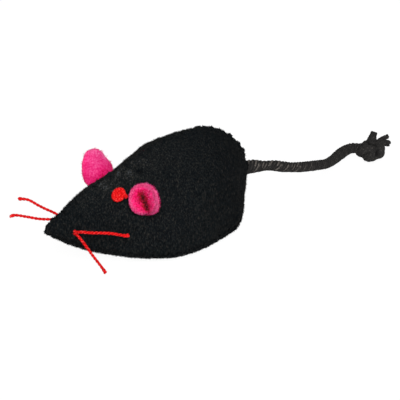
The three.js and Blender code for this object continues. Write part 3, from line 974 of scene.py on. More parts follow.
@dataclass(frozen=True)
class TailLine:
    """The tail cord's line, in millimetres: out of the back seam, over two bends and down to its knot."""

    exit_point: Place = (35.601, 0.0, 18.3)
    droop: float = 11.0
    cord: float = 3.4
    anchor: float = 9.0
    root: float = 8.0
    gap: float = 0.3
    rear_point: float = 35.0
    route: tuple[Place, ...] = (
        (16.9, 0.2, 14.4),
        (20.6, 0.9, 13.1),
        (24.4, 1.8, 11.9),
        (29.2, 3.5, 10.4),
        (34.3, 5.5, 8.8),
        (39.1, 7.6, 7.3),
        (44.1, 10.5, 6.4),
        (49.1, 13.7, 6.0),
        (53.9, 16.3, 5.6),
        (57.3, 17.5, 5.1),
        (59.8, 17.4, 4.5),
    )
    knot: Place = (63.8, 15.1, 3.6)

    @property
    def outward(self) -> Array:
        """The direction in which the cord leaves the seam."""
        angle = math.radians(self.droop)
        return np.array([math.cos(angle), 0.0, -math.sin(angle)])

    def from_exit(self, distance: float) -> Array:
        """A point of the straight stretch, so far beyond the seam."""
        return np.array(self.exit_point) + distance * self.outward

    @property
    def lift_pivot(self) -> Array:
        """The middle of the first bend."""
        return self.from_exit(self.gap + self.cord / 2)

    @property
    def swing_pivot(self) -> Array:
        """The middle of the second bend."""
        return self.from_exit(self.gap + self.cord / 2 + self.root)

    def behind(self, place: Sequence[float]) -> Array:
        """A point given behind the rear point, to the right and above the floor."""
        return np.array(place, float) + [self.rear_point, 0.0, 0.0]


# Finishes

# Black wool felt: near-black with a cold cast, dull, and peppered with fine warm-grey fibre ends along its
# nap. Wool fibres are 0.02 mm thick; they are drawn as 0.4 mm flecks, which is what the eye makes out
BLACK_FELT = FeltFinish(
    name="black_wool_felt",
    tones=((0.0, "#000306"), (0.4, "#060B0E"), (0.7, "#131719"), (0.86, "#292722"), (1.0, "#363A3E")),
    fibre_end="#655E55",
    fibre_share=0.25,
    mottle_mm=0.42,
    mottle_share=0.43,
    fibre_mm=0.36,
    relief_mm=0.2,
    nap=(1.0, 1.0, 0.42),
    sheen=0.03,
)

# Pink wool felt: hot pink that pales at its fuzzy rim, with crimson and dark tones that are painted shade down
# in the pleat
PINK_FELT = FeltFinish(
    name="pink_wool_felt",
    tones=(
        (0.0, "#2A0506"),
        (0.14, "#7A1110"),
        (0.3, "#B00A28"),
        (0.46, "#E00C5C"),
        (0.62, "#EE2077"),
        (0.8, "#F6468F"),
        (1.0, "#FF7CB4"),
    ),
    fibre_end="#FD88BA",
    fibre_share=0.14,
    mottle_mm=0.5,
    mottle_share=0.2,
    fibre_mm=0.4,
    relief_mm=0.25,
)

# Red yarn: bright red, with painted highlights in orange-red on its crowns and painted shade in deeper red
# between its plies
RED_YARN = YarnFinish(
    name="red_cotton_yarn",
    groove="#7E0406",
    base="#C4070A",
    crown="#E2161A",
    streak="#F46C64",
    fleck_mm=0.4,
    relief_mm=0.08,
    fleck_share=0.42,
    sheen=0.03,
)

# Charcoal cord: soft dark cotton, with painted highlights as paler slanting streaks on its yarns
CHARCOAL_CORD = YarnFinish(
    name="charcoal_cotton_cord",
    groove="#090909",
    base="#1A1919",
    crown="#2A2928",
    streak="#625C57",
    fleck_mm=0.5,
    relief_mm=0.12,
)

# Black thread: slightly glossier than the felt that it sews
BLACK_THREAD = YarnFinish(
    name="black_sewing_thread",
    groove="#040506",
    base="#0B0D0F",
    crown="#15181A",
    streak="#202427",
    fleck_mm=0.4,
    relief_mm=0.04,
    roughness=0.7,
)

# White wadding: off-white matted fibre, inside the felt
WHITE_WADDING = FeltFinish(
    name="white_fibre_wadding",
    tones=((0.0, "#BDB7AB"), (0.5, "#E6E2D8"), (1.0, "#FAF8F3")),
    fibre_end="#FFFFFF",
    fibre_share=0.3,
    mottle_mm=4.0,
    mottle_share=0.25,
    fibre_mm=0.8,
    relief_mm=0.5,
)

# Dried catnip: crumbled grey-green leaf with straw-coloured stalk
DRIED_CATNIP = FeltFinish(
    name="dried_catnip_leaf",
    tones=((0.0, "#3E4522"), (0.5, "#71793F"), (1.0, "#A89E66")),
    fibre_end="#C9BE8A",
    fibre_share=0.35,
    mottle_mm=1.5,
    mottle_share=0.4,
    fibre_mm=0.7,
    relief_mm=0.6,
)


@dataclass
class PanelGrid:
    """A felt panel on one grid of points: its two faces, its tones and its outward normals."""

    outer: Array
    inner: Array
    tone: Array
    normals: Array


@dataclass
class FeltBody:
    """The sewn body: two flanks and a belly of felt, drawn in at the seams and padded out by the wadding."""

    form: BodyForm
    tail: TailLine
    stations: int = 230
    divisions: int = 84
    bunching: float = 0.4
    # Seams: the felt stands up along the back and dips along the belly, rippled by waves whose lengths are
    # given in stitches, each with its starting angle
    seam_dip: float = 0.45
    seam_spread: float = 0.9
    crest: float = 0.45
    crest_spread: float = 1.3
    scallop: float = 0.6
    stitch_pitch: float = 3.0
    pull_waves: tuple[Pair, ...] = ((0.5, 0.0), (0.83, 2.1), (1.37, 4.4))
    tip_fade: float = 5.0
    seam_clear: float = 3.0
    # Lumps of wadding, 10 to 25 mm long, and tufts of the nap, 2.5 to 4 mm long: turns per millimetre along
    # x, y and z, then the angle at the origin
    lump: float = 0.5
    lump_waves: tuple[tuple[float, ...], ...] = (
        (0.046, 0.02, 0.031, 0.4),
        (-0.03, 0.05, 0.052, 1.9),
        (0.082, -0.03, 0.02, 3.1),
        (0.05, 0.06, -0.07, 5.0),
    )
    tuft: float = 0.16
    tuft_waves: tuple[tuple[float, ...], ...] = (
        (0.29, 0.11, 0.2, 1.2),
        (-0.21, 0.3, 0.13, 0.3),
        (0.12, -0.25, 0.24, 4.0),
        (0.23, 0.19, -0.17, 2.6),
    )
    # A stitch that dimples the left flank: degrees from the nose and the share down
    dimple_at: Pair = (77.26, 0.207)
    dimple_depth: float = 0.9
    dimple_spread: float = 0.9
    dimple_shade: float = 0.5
    # Where sewing draws the right flank in, by the ear and the whiskers: degrees from the nose and the share
    # down, each with its spread, then millimetres
    drawn_in: tuple[tuple[float, ...], ...] = ((68.0, 9.5, 0.3, 0.2, 1.5), (31.0, 4.5, 0.22, 0.2, 1.35))
    tail_pull: float = 2.2
    tail_room: float = 0.1
    tail_reach: Pair = (24.0, 31.0)
    # Tones, with a painted highlight along the ridge, made patchy by the nap's waves, and painted shade in the
    # seam, at the rump and at the snout: degrees from the nose and the share down, then millimetres along the
    # body and across it
    tone: float = 0.44
    belly_tone: float = 0.45
    groove_shade: float = 0.15
    ridge_at: Pair = (66.0, 0.13)
    ridge_highlight_size: Pair = (14.0, 4.2)
    ridge_highlight: float = 0.22
    ridge_highlight_patches: float = 0.36
    rump_shade: float = 0.24
    rump_from: Pair = (8.0, 30.0)
    snout_shade: float = 0.06
    snout_from: Pair = (14.0, 26.0)
    fill: float = 0.85
    nap: Fibres = Fibres(count=9000, shortest=0.2, longest=0.6, width=0.07, lean=1.2, tone=(-0.3, 0.3))
    tufts: Fibres = Fibres(count=8000, shortest=0.1, longest=0.6, width=0.3, lean=0.9, tone=(-0.25, 0.15))
    bare_below: float = 1.0
    seed: int = 11

    @property
    def along(self) -> Array:
        """Stations from nose to rump, as a column."""
        return np.linspace(0, math.pi, self.stations)[:, None]

    @property
    def down(self) -> Array:
        """Shares of the way down a flank: part even, and part bunched at the seams by a cosine.

        Returns:
            The shares, as a row.
        """
        straight = np.linspace(0, 1, self.divisions)
        bunched = (1 - np.cos(math.pi * straight)) / 2
        return ((1 - self.bunching) * straight + self.bunching * bunched)[None, :]

    def along_seam(self, distance: Array, run: Array, spread: float) -> Array:
        """How much a seam shapes the felt at each point.

        A bell curve of the distance from the seam, rippled by the uneven stitches along it and fading out
        over the last few millimetres before the nose and the rump.

        Args:
            distance: Distance from the seam at each point.
            run: Length along the seam at each station.
            spread: The bell curve's half width.

        Returns:
            A share that is about 1 on the seam.
        """
        lengths, starts = np.array(self.pull_waves).T
        pulls = np.sin(TURN * run[..., None] / (self.stitch_pitch * lengths) + starts)
        ripple = 1 + self.scallop * pulls.sum(-1)
        tips = smooth_step(run, 0, self.tip_fade) * smooth_step(run[-1] - run, 0, self.tip_fade)
        return ripple * tips * bell(distance, spread)

    def flank_tone(self, outer: Array, tufts: Array, groove: Array, side: Side) -> Array:
        """A flank's tones: a painted highlight along the ridge, and painted shade in the seam, at the rump and
        at the snout.

        Args:
            outer: The flank's points.
            tufts: The waves of the nap there.
            groove: How much the belly seam shapes the felt there.
            side: The flank.

        Returns:
            The tone at each point.
        """
        ridge, _, rearward, _ = self.form.seat(*self.ridge_at, side)
        along = (outer - ridge) @ rearward
        beside = np.linalg.norm(outer - ridge - along[..., None] * rearward, axis=-1)
        length, width = self.ridge_highlight_size
        # A painted highlight along the ridge, patchy with the nap's waves, and painted shade in the seam, at
        # the rump and at the snout
        ridge_lit = bell(along, length) * bell(beside, width)
        tone = self.tone + (self.ridge_highlight + self.ridge_highlight_patches * tufts) * ridge_lit - self.groove_shade * groove
        tone = tone - self.rump_shade * smooth_step(outer[..., 0], *self.rump_from)
        return tone - self.snout_shade * smooth_step(-outer[..., 0], *self.snout_from)

    def tail_opening(self, outer: Array, from_back: Array, side: Side) -> Array:
        """How the back seam opens round the tail: by a circle's half width, dying away down the flank.

        Args:
            outer: The flank's points.
            from_back: Their distances from the back seam.
            side: The flank.

        Returns:
            The move at each point.
        """
        reach = self.tail.cord / 2 + self.tail_room
        beside = (outer - np.array(self.tail.exit_point)) @ np.cross(self.tail.outward, RIGHTWARD)
        room = np.sqrt(np.clip(reach**2 - beside**2, 0, None)) * smooth_step(outer[..., 0], *self.tail_reach)
        return side.value * (room * np.exp(-from_back / self.tail_pull))[..., None] * RIGHTWARD

    def flank(self, side: Side) -> PanelGrid:
        """Works out one flank.

        The outer face is the body's form, moved along its normals by lumps, tufts and seams, by the dimple
        on the left and the drawn-in places on the right, and opened sideways where the tail passes through.

        Args:
            side: The flank.

        Returns:
            The flank's grid.
        """
        insets = (0.0, self.form.felt)
        outer, inner = (self.form.flank(self.along, self.down, side, inset) for inset in insets)
        normals = side.value * unit(grid_crosses(outer))
        from_back = arc_lengths(outer, axis=1)
        from_belly = from_back[:, -1:] - from_back
        back_run, belly_run = (arc_lengths(outer[:, edge])[:, None] for edge in (0, -1))
        crest = self.along_seam(from_back, back_run, self.crest_spread)
        groove = self.along_seam(from_belly, belly_run, self.seam_spread)
        tufts = wave_mean(outer, self.tuft_waves)
        lumps = self.lump * wave_mean(outer, self.lump_waves) + self.tuft * tufts
        clear = smooth_step(np.minimum(from_back, from_belly), 0, self.seam_clear)
        relief = lumps * clear + self.crest * crest - self.seam_dip * groove
        tone = self.flank_tone(outer, tufts, groove, side)
        if side is Side.LEFT:
            spot = self.form.seat(*self.dimple_at, side)[0]
            pit = bell(np.linalg.norm(outer - spot, axis=-1), self.dimple_spread)
            relief, tone = relief - self.dimple_depth * pit, tone - self.dimple_shade * pit
        else:
            degrees = np.degrees(self.along)
            for at, length, under, height, depth in self.drawn_in:
                relief = relief - depth * bell(degrees - at, length) * bell(self.down - under, height)
        opening = self.tail_opening(outer, from_back, side)
        moved = outer + normals * relief[..., None] + opening
        return PanelGrid(moved, inner + opening, np.clip(tone, 0, 1), normals)

    def belly(self) -> PanelGrid:
        """Works out the belly: its form with its edges drawn in by the seams, and never below the floor.

        Returns:
            The belly's grid.
        """
        across = -np.cos(np.linspace(0, math.pi, self.divisions))[None, :]
        outer, inner = (self.form.belly(self.along, across, inset) for inset in (0.0, self.form.felt))
        normals = -unit(grid_crosses(outer))
        length = arc_lengths(outer, axis=1)
        edge = np.minimum(length, length[:, -1:] - length)
        groove = self.along_seam(edge, arc_lengths(outer[:, -1])[:, None], self.seam_spread)
        moved = outer - normals * self.seam_dip * groove[..., None]
        moved[..., 2] = np.maximum(moved[..., 2], 0)
        return PanelGrid(moved, inner, np.clip(self.belly_tone - self.groove_shade * groove, 0, 1), normals)

    def panel(self, name: str, node: str, grid: PanelGrid, felt: bpy.types.Material) -> None:
        """Args:
            name: The piece's name.
            node: The solid that it replaces.
            grid: The panel's grid.
            felt: The felt.
        """
        draw = np.random.default_rng(self.seed)
        area = np.linalg.norm(grid_crosses(grid.outer), axis=-1)
        weight = (area * (grid.outer[..., 2] > self.bare_below)).ravel()
        fleece = Fleece(grid.outer.reshape(-1, 3), grid.normals.reshape(-1, 3), grid.tone.ravel())
        pile = [fibres.shell(fleece, weight, draw) for fibres in (self.nap, self.tufts)]
        piece = make_piece(name, [sheet_shell(grid.outer, grid.inner, grid.tone), *pile], felt)
        place_piece(piece, Moves.TRUNK, "black_felt", node)

    def build(self) -> None:
        """Builds the three panels."""
        felt = BLACK_FELT.material()
        self.panel("left_flank_felt", "left_side_panel", self.flank(Side.LEFT), felt)
        self.panel("right_flank_felt", "right_side_panel", self.flank(Side.RIGHT), felt)
        self.panel("belly_felt", "belly_panel", self.belly(), felt)


@dataclass
class OvercastSeams:
    """The sewing: thread that crosses from one felt edge to the other at each stitch, sunk in the nap."""

    form: BodyForm
    tail: TailLine
    thread: float = 0.5
    sides: int = 7
    tone: float = 0.5
    slant: Place = (0.31, 0.23, 0.92)
    pitch: float = 3.0
    reach: float = 0.8
    sunk: float = 0.25
    belly_sunk: float = 0.95
    arch: float = 0.25
    back_lift: float = 0.35
    back_start: float = 30.0
    belly_ends: Pair = (16.0, 164.0)
    steps: int = 10
    samples: int = 900
    rump_samples: int = 4000

    def on_rump(self, height: float) -> float:
        """The station at which the back seam comes down to a height on the rump."""
        t = np.linspace(math.pi, math.pi / 2, self.rump_samples)
        return float(np.interp(height, self.form.flank(t, 0.0, Side.RIGHT)[:, 2], t))

    def stitched(self, line: Array, outward: Array, across: Array) -> Shell:
        """Lays a thread in a zigzag along a seam.

        Sideways it follows a cosine, one half wave to each half stitch, and it rises in a low arch where it
        crosses the seam and sinks into the felt where it turns.

        Args:
            line: Closely spaced points of the seam.
            outward: Outward directions there.
            across: Directions across the seam there.

        Returns:
            The thread.
        """
        run = arc_lengths(line)
        turns = round(run[-1] / (self.pitch / 2))
        share = np.linspace(0, 1, turns * self.steps + 1)
        phase = math.pi * turns * share
        place, out, over = (
            np.stack([np.interp(share * run[-1], run, part[:, k]) for k in range(3)], -1)
            for part in (line, outward, across)
        )
        lift = self.arch * np.sin(phase) ** 2 - self.sunk
        path = place + over * (self.reach * np.cos(phase))[:, None] + out * lift[:, None]
        return tube_shell(path, self.thread / 2, self.sides, np.array(self.slant), self.tone)

    def back(self, start: float, end: float) -> Shell:
        """The thread over the back seam, on the crest of the felt.

        Args:
            start: The station at which it starts.
            end: The station at which it ends.

        Returns:
            The thread.
        """
        t = np.linspace(start, end, self.samples)
        line = self.form.flank(t, 0.0, Side.RIGHT) * [1, 0, 1]
        along = unit(np.gradient(line, axis=0))
        outward = np.stack([-along[:, 2], 0 * t, along[:, 0]], -1)
        crest = line + outward * self.back_lift
        return self.stitched(crest, outward, np.broadcast_to(RIGHTWARD, line.shape))

    def belly(self, side: Side) -> Shell:
        """The thread along one belly seam, sunk in the felt.

        Args:
            side: The seam's side.

        Returns:
            The thread.
        """
        t = np.radians(np.linspace(*self.belly_ends, self.samples))
        line = self.form.flank(t, 1.0, side) - [0, 0, self.form.gap / 2]
        along = unit(np.gradient(line, axis=0) * [1, 1, 0])
        outward = side.value * np.stack([-along[:, 1], along[:, 0], 0 * t], -1)
        under = line - outward * (self.belly_sunk - self.sunk)
        return self.stitched(under, outward, np.broadcast_to(UP, line.shape))

    def build(self) -> None:
        """Builds the four seams' threads."""
        thread = BLACK_THREAD.material()
        height = self.tail.exit_point[2]
        room = self.tail.cord / 2 + self.form.gap + self.reach + self.thread
        foot = self.form.seam_height + self.form.rump_lift + room
        seams = {
            "back_seam_thread": self.back(math.radians(self.back_start), self.on_rump(height + room)),
            "rump_seam_thread": self.back(self.on_rump(height - room), self.on_rump(foot)),
            "left_belly_seam_thread": self.belly(Side.LEFT),
            "right_belly_seam_thread": self.belly(Side.RIGHT),
        }
        for node, shell in seams.items():
            piece = make_piece(node.replace("thread", "stitches"), [shell], thread)
            place_piece(piece, Moves.TRUNK, "black_thread", node)


@dataclass
class Filling:
    """What pads the felt: two wads of fibre with a lump of crumbled catnip held between them."""

    form: BodyForm
    middle: Place = (5.0, 0.0, 15.0)
    catnip: Place = (11.0, 8.0, 7.5)
    gap: float = 0.3
    parting: float = 0.02
    stations: int = 60
    divisions: int = 24
    wad_tone: float = 0.5
    # Crumbs of the leaf: their depth as a share, and their waves from end to end and round the lump
    crumbs: tuple[tuple[float, int, int], ...] = ((0.03, 9, 11), (0.02, 17, 7))
    leaf_grid: tuple[int, int] = (40, 60)
    leaf_tone: float = 0.5
    leaf_contrast: float = 8.0

    def section(self, t: Array) -> Array:
        """Closed rings inside the felt: down the right flank, across the belly and up the left flank.

        Args:
            t: The stations, as a column.

        Returns:
            The rings' points.
        """
        inset = self.form.felt + self.gap
        down = np.linspace(0, 1, self.divisions)[None, :]
        right = self.form.flank(t, down, Side.RIGHT, inset) - [0, self.form.gap / 2, 0]
        belly = self.form.belly(t, 1 - 2 * down, inset)
        return np.concatenate([right[:, :-1], belly, (right * [1, -1, 1])[:, -2:0:-1]], axis=1)

    def wad(self, start: float, end: float, side: float) -> Shell:
        """One wad: rings along the body, closed by a face that is hollowed to hold the catnip.

        The face shrinks the last ring towards the middle and moves back wherever the grown catnip's
        ellipsoid would pass through it.

        Args:
            start: The station at the tip.
            end: The station at the face.
            side: -1 for the front wad and 1 for the rear one.

        Returns:
            The closed wad.
        """
        rings = self.section(np.linspace(start, end, self.stations)[:, None])
        centre = np.array(self.middle)
        share = np.linspace(1, 0, self.divisions)[1:, None, None]
        face = centre + share * (rings[-1] - centre)
        held = (face - centre)[..., 1:] / (np.array(self.catnip[1:]) + self.gap)
        hollow = (self.catnip[0] + self.gap) * np.sqrt(np.clip(1 - (held**2).sum(-1), 0, None))
        face[..., 0] += side * np.clip(hollow - side * (face[..., 0] - centre[0]), self.gap / 2, None)
        points = np.concatenate([rings, face])
        return wrapped_shell(points, np.full(points.shape[:2], self.wad_tone))

    def leaf(self) -> Shell:
        """The catnip: an ellipsoid along the body, sunk in crumbs by products of sines of its two angles.

        Returns:
            The closed lump.
        """
        ball, polar, turn = ball_grid(*self.leaf_grid)
        sunk = sum(depth * (1 + np.sin(a * polar) * np.sin(b * turn)) for depth, a, b in self.crumbs)
        mean_depth = sum(depth for depth, _, _ in self.crumbs)
        lengthwise = np.roll(ball, 1, axis=-1)
        points = np.array(self.middle) + lengthwise * (1 - sunk)[..., None] * np.array(self.catnip)
        # The tone darkens where the surface is sunk: painted shade in the dips between crumbs
        return wrapped_shell(points, np.clip(self.leaf_tone + self.leaf_contrast * (mean_depth - sunk), 0, 1))

    def build(self) -> None:
        """Builds the wads and the catnip."""
        wadding, leaf = WHITE_WADDING.material(), DRIED_CATNIP.material()
        parted = math.acos(-2 * self.middle[0] / self.form.length)
        front = make_piece("front_wadding", [self.wad(0.0, parted - self.parting, -1.0)], wadding)
        place_piece(front, Moves.TRUNK, "white_fibre", "stuffing_front")
        rear = make_piece("rear_wadding", [self.wad(math.pi, parted + self.parting, 1.0)], wadding)
        place_piece(rear, Moves.TRUNK, "white_fibre", "stuffing_rear")
        catnip = make_piece("catnip_leaf", [self.leaf()], leaf)
        place_piece(catnip, Moves.TRUNK, "dried_catnip", "catnip_filling")


@dataclass(frozen=True)
class EarTones:
    """Tones of an ear's two faces, and where their shading lies, in millimetres across and up the ear."""

    front: float = 0.615
    back: float = 0.74
    rim_from: Pair = (0.66, 0.98)
    front_rim: float = 0.21
    back_rim: float = 0.04
    # The slanted crease, a painted light beside it, and three painted shades along it: how dark and how wide
    # each is, between which heights it dies away, and what share of it the rim takes off
    crease_slant: float = -0.22
    crease_shift: float = 0.5
    lit: float = 0.06
    lit_from: Pair = (1.5, 4.0)
    hollow: float = 0.26
    hollow_width: float = 2.6
    hollow_top: Pair = (6.0, 9.0)
    hollow_loss: float = 0.7
    shade: float = 0.31
    shade_widths: Pair = (1.75, 1.2)
    shade_top: Pair = (6.2, 9.2)
    shade_loss: float = 0.6
    line: float = 0.17
    line_shift: float = 0.5
    line_width: float = 0.3
    line_top: Pair = (1.5, 7.5)
    # Painted shade on the back face: darker at the base and towards one side
    base_shade: float = 0.24
    base_top: Pair = (2.5, 7.0)
    sideways: float = 0.24
    patch: float = 0.045
    # Radians per millimetre across and up the ear, the angle at its base and the strength of each wave
    patch_waves: tuple[tuple[float, ...], ...] = ((0.7, 0.8, 0.5, 1.0), (1.7, -0.7, 1.0, 0.6))

    def front_face(self, share: Array, across: Array, up: Array) -> Array:
        """Tones inside the pleat: a pale rim, and painted shade as a hollow, a shade and a dark line along the
        crease.

        Each of the three is a bell curve across the crease that dies away up the ear, and the rim lessens
        the first two.

        Args:
            share: Share of the way from the disc's middle to its rim.
            across: Distance from the pleat.
            up: Height above the base.

        Returns:
            The tones.
        """
        rim = smooth_step(share, *self.rim_from)
        beside = across - self.crease_shift - self.crease_slant * up
        hollow = bell(beside, self.hollow_width) * (1 - smooth_step(up, *self.hollow_top))
        shade_width = np.where(beside > 0, *self.shade_widths)
        shade = bell(beside, shade_width) * (1 - smooth_step(up, *self.shade_top))
        line = bell(beside - self.line_shift, self.line_width) * (1 - smooth_step(up, *self.line_top))
        tone = self.front + self.lit * smooth_step(beside, *self.lit_from) + self.front_rim * rim
        tone = tone - self.hollow * hollow * (1 - self.hollow_loss * rim)
        tone = tone - self.shade * shade * (1 - self.shade_loss * rim)
        return np.clip(tone - self.line * line, 0, 1)

    def back_face(self, share: Array, across: Array, up: Array, disc: float) -> Array:
        """Tones behind the pleat: painted shade at the base and to one side, with soft patches from two waves.

        Args:
            share: Share of the way from the disc's middle to its rim.
            across: Distance from the pleat.
            up: Height above the base.
            disc: The disc's diameter.

        Returns:
            The tones.
        """
        patches = sum(size * np.sin(a * across + b * up + start) for a, b, start, size in self.patch_waves)
        base = 1 - smooth_step(up, *self.base_top)
        tone = self.back + self.back_rim * smooth_step(share, *self.rim_from) - self.base_shade * base
        return np.clip(tone - self.sideways * across / disc + self.patch * patches, 0, 1)


@dataclass
class PleatedEar:
    """An ear: a felt disc cut straight at its base, pinched into a pleat and sewn on by the pinch."""

    name: str
    node: str
    body: Moves
    side: Side
    place: Pair
    top: Place
    facing: Place
    pleat: float
    form: BodyForm
    disc: float
    # Hand-cut edge: degrees round the disc, then millimetres
    cut: tuple[Pair, ...]
    base_cut: float = 0.5
    base_power: int = 8
    felt: float = 1.4
    edge_power: int = 6
    gap: float = 0.3
    pleat_at_base: float = 0.85
    pleat_at_tip: float = 0.44
    pleat_round: float = 1.5
    opening: float = 1.5
    narrowing: float = 0.7
    slope_step: float = 1e-3
    sewn_reach: float = 1.5
    sewn_sunk: float = 0.5
    tones: EarTones = EarTones()
    rings: int = 44
    spokes: int = 120
    fuzz: Fibres = Fibres(count=6000, shortest=0.2, longest=0.95, width=0.24, lean=1.15, tone=(-0.34, 0.42))
    fuzz_at_rim: float = 5.0
    fuzz_rim_from: Pair = (0.8, 1.0)
    wisps: Fibres = Fibres(count=420, shortest=0.4, longest=1.3, width=0.14, lean=0.7, tone=(-0.1, 0.2))
    wisps_from: float = 0.995
    seed: int = 23

    def pleated(self, across: Array, up: Array) -> Array:
        """Folds the flat disc: each point rises by a rounded V across the pleat, which eases to the top.

        Args:
            across: Distance from the pleat on the flat disc.
            up: Height above the base.

        Returns:
            Points across, up and out of the pleat.
        """
        height = self.disc - self.base_cut
        open_share = np.clip(1 - np.clip(up, 0, None) / height, 0, None) ** self.opening
        slope = self.pleat * (self.pleat_at_tip + (self.pleat_at_base - self.pleat_at_tip) * open_share)
        rise = slope * (np.hypot(across, self.pleat_round) - self.pleat_round)
        return np.stack([across / np.hypot(1, self.narrowing * slope), up, rise], -1)

    def flat_disc(self) -> tuple[Array, Array, Array]:
        """The disc before it is folded, as rings and spokes.

        Each spoke reaches to the rim or to the straight base, whichever is nearer, rounded off between
        them by a mean of high powers, and then to the hand-cut edge.

        Returns:
            The share of the way to the edge, the distance from the pleat and the height above the base.
        """
        radius = self.disc / 2
        share = np.sin(np.linspace(0, math.pi / 2, self.rings))[:, None]
        turn = turn_angles(self.spokes)[None, :]
        below = np.clip(-np.sin(turn), LEAST_SHARE, None)
        power = self.base_power
        reach = (radius**-power + ((radius - self.base_cut) / below) ** -power) ** (-1 / power)
        reach = reach + eased(np.degrees(turn), self.cut)
        return share, share * reach * np.cos(turn), radius - self.base_cut + share * reach * np.sin(turn)

    @staticmethod
    def both(front: Array, back: Array) -> Array:
        """Joins two faces' grids: the first out to the rim, and the second back to its own middle."""
        return np.concatenate([front, back[-2::-1]])

    def build(self) -> None:
        """Builds the ear.

        The disc's two faces lie half the felt's thickness either side of the pleated surface, and close on
        each other at the rim, where the thickness falls away as the square root of one less a high power
        of the share. The base bends in to the felt that it is sewn to.
        """
        share, across, up = self.flat_disc()
        middle = self.pleated(across, up)
        h = self.slope_step
        right = self.pleated(across + h, up) - self.pleated(across - h, up)
        normals = unit(np.cross(right, self.pleated(across, up + h) - self.pleated(across, up - h)))
        half = (self.felt / 2 * np.sqrt(np.clip(1 - share**self.edge_power, 0, 1)))[..., None]
        inside = self.tones.front_face(share, across, up)
        tone = self.both(inside, self.tones.back_face(share, across, up, self.disc))
        local = self.both(middle + normals * half, middle - normals * half)
        point, normal, _, _ = self.form.seat(*self.place, self.side)
        top = unit(np.array(self.top))
        facing = np.array(self.facing)
        facing = unit(facing - top * (facing @ top))
        axes = np.stack([np.cross(top, facing), top, facing])
        sewn = np.clip(1 - self.both(up, up) / self.sewn_reach, 0, 1)[..., None] ** 2
        base = point + normal * (self.felt / 2 + self.gap)
        points = base + local @ axes - normal * sewn * (self.gap + self.sewn_sunk)
        outward = self.both(normals, -normals) @ axes
        draw = np.random.default_rng(self.seed)
        area = np.linalg.norm(grid_crosses(points), axis=-1)
        shares = self.both(share, share)
        fleece = Fleece(points.reshape(-1, 3), outward.reshape(-1, 3), tone.ravel())
        rimward = area * (1 + self.fuzz_at_rim * smooth_step(shares, *self.fuzz_rim_from))
        fuzz = self.fuzz.shell(fleece, rimward.ravel(), draw)
        wisps = self.wisps.shell(fleece, (area * (shares > self.wisps_from)).ravel(), draw)
        piece = make_piece(self.name, [wrapped_shell(points, tone), fuzz, wisps], PINK_FELT.material())
        place_piece(piece, self.body, "pink_felt", self.node)


@dataclass
class YarnEye:
    """An eye: a length of yarn wound flat over a small dome and knotted off, with its cut end showing."""

    name: str
    node: str
    side: Side
    place: Pair
    form: BodyForm
    # The cut end: where it points, towards the rump and down, and how far short of it the spiral stops
    end_towards: Pair = (0.76, 0.65)
    end_reach: float = 3.2
    end_lag: float = 0.5
    diameter: float = 4.6
    height: float = 1.5
    yarn: float = 1.2
    turns: float = 2.4
    inner: float = 0.15
    samples: int = 160
    spacing: float = 0.12
    twist: Twist = Twist(
        strands=3, radius=0.6, strand=0.34, lay=2.2, yarns=3, yarn_lay=1.4, sides=8, contrast=1.25, level=0.33
    )
    fuzz: Fibres = Fibres(count=1400, shortest=0.1, longest=0.32, width=0.1, lean=1.5, tone=(-0.3, 0.5))
    flatness: float = 0.92
    dome_grid: tuple[int, int] = (16, 32)
    dome_share: float = 0.85
    dome_tone: float = 0.45
    seed: int = 31

    def build(self) -> None:
        """Builds the eye.

        The yarn's middle follows a spiral that sinks with the square of its radius, and its last stretch
        leaves the spiral for the cut end. Under it a shallow dome reaches into the felt.
        """
        point, normal, rearward, downward = self.form.seat(*self.place, self.side)
        axes = np.stack([rearward, downward, normal])
        widest = (self.diameter - self.yarn) / 2
        share = np.linspace(0, 1, self.samples)
        end_angle = math.atan2(self.end_towards[1], self.end_towards[0])
        angle = end_angle - self.end_lag - TURN * self.turns * (1 - share)
        outward_share = np.clip(share * self.turns / (self.turns - 1), 0, 1)
        radius = self.inner + (widest - self.inner) * outward_share
        lift = self.height - self.yarn / 2 - (self.height - self.yarn) * (radius / widest) ** 2
        spiral = np.stack([radius * np.cos(angle), radius * np.sin(angle), lift], -1)
        tip = np.array([math.cos(end_angle), math.sin(end_angle), 0.0]) * self.end_reach
        cut = tip + [0.0, 0.0, self.yarn / 2]
        path = resampled(np.concatenate([spiral, cut[None]]), self.spacing)
        world = point + (path * [1.0, self.flatness, 1.0]) @ axes
        shells, fleece = self.twist.shells(world, reference=normal)
        dome, _, _ = ball_grid(*self.dome_grid)
        pad = point + (dome * [widest, widest * self.flatness, self.height * self.dome_share]) @ axes
        shells.append(wrapped_shell(pad, np.full(pad.shape[:2], self.dome_tone)))
        shells.append(self.fuzz.evenly(fleece, self.seed))
        place_piece(make_piece(self.name, shells, RED_YARN.material()), Moves.TRUNK, "red_yarn", self.node)


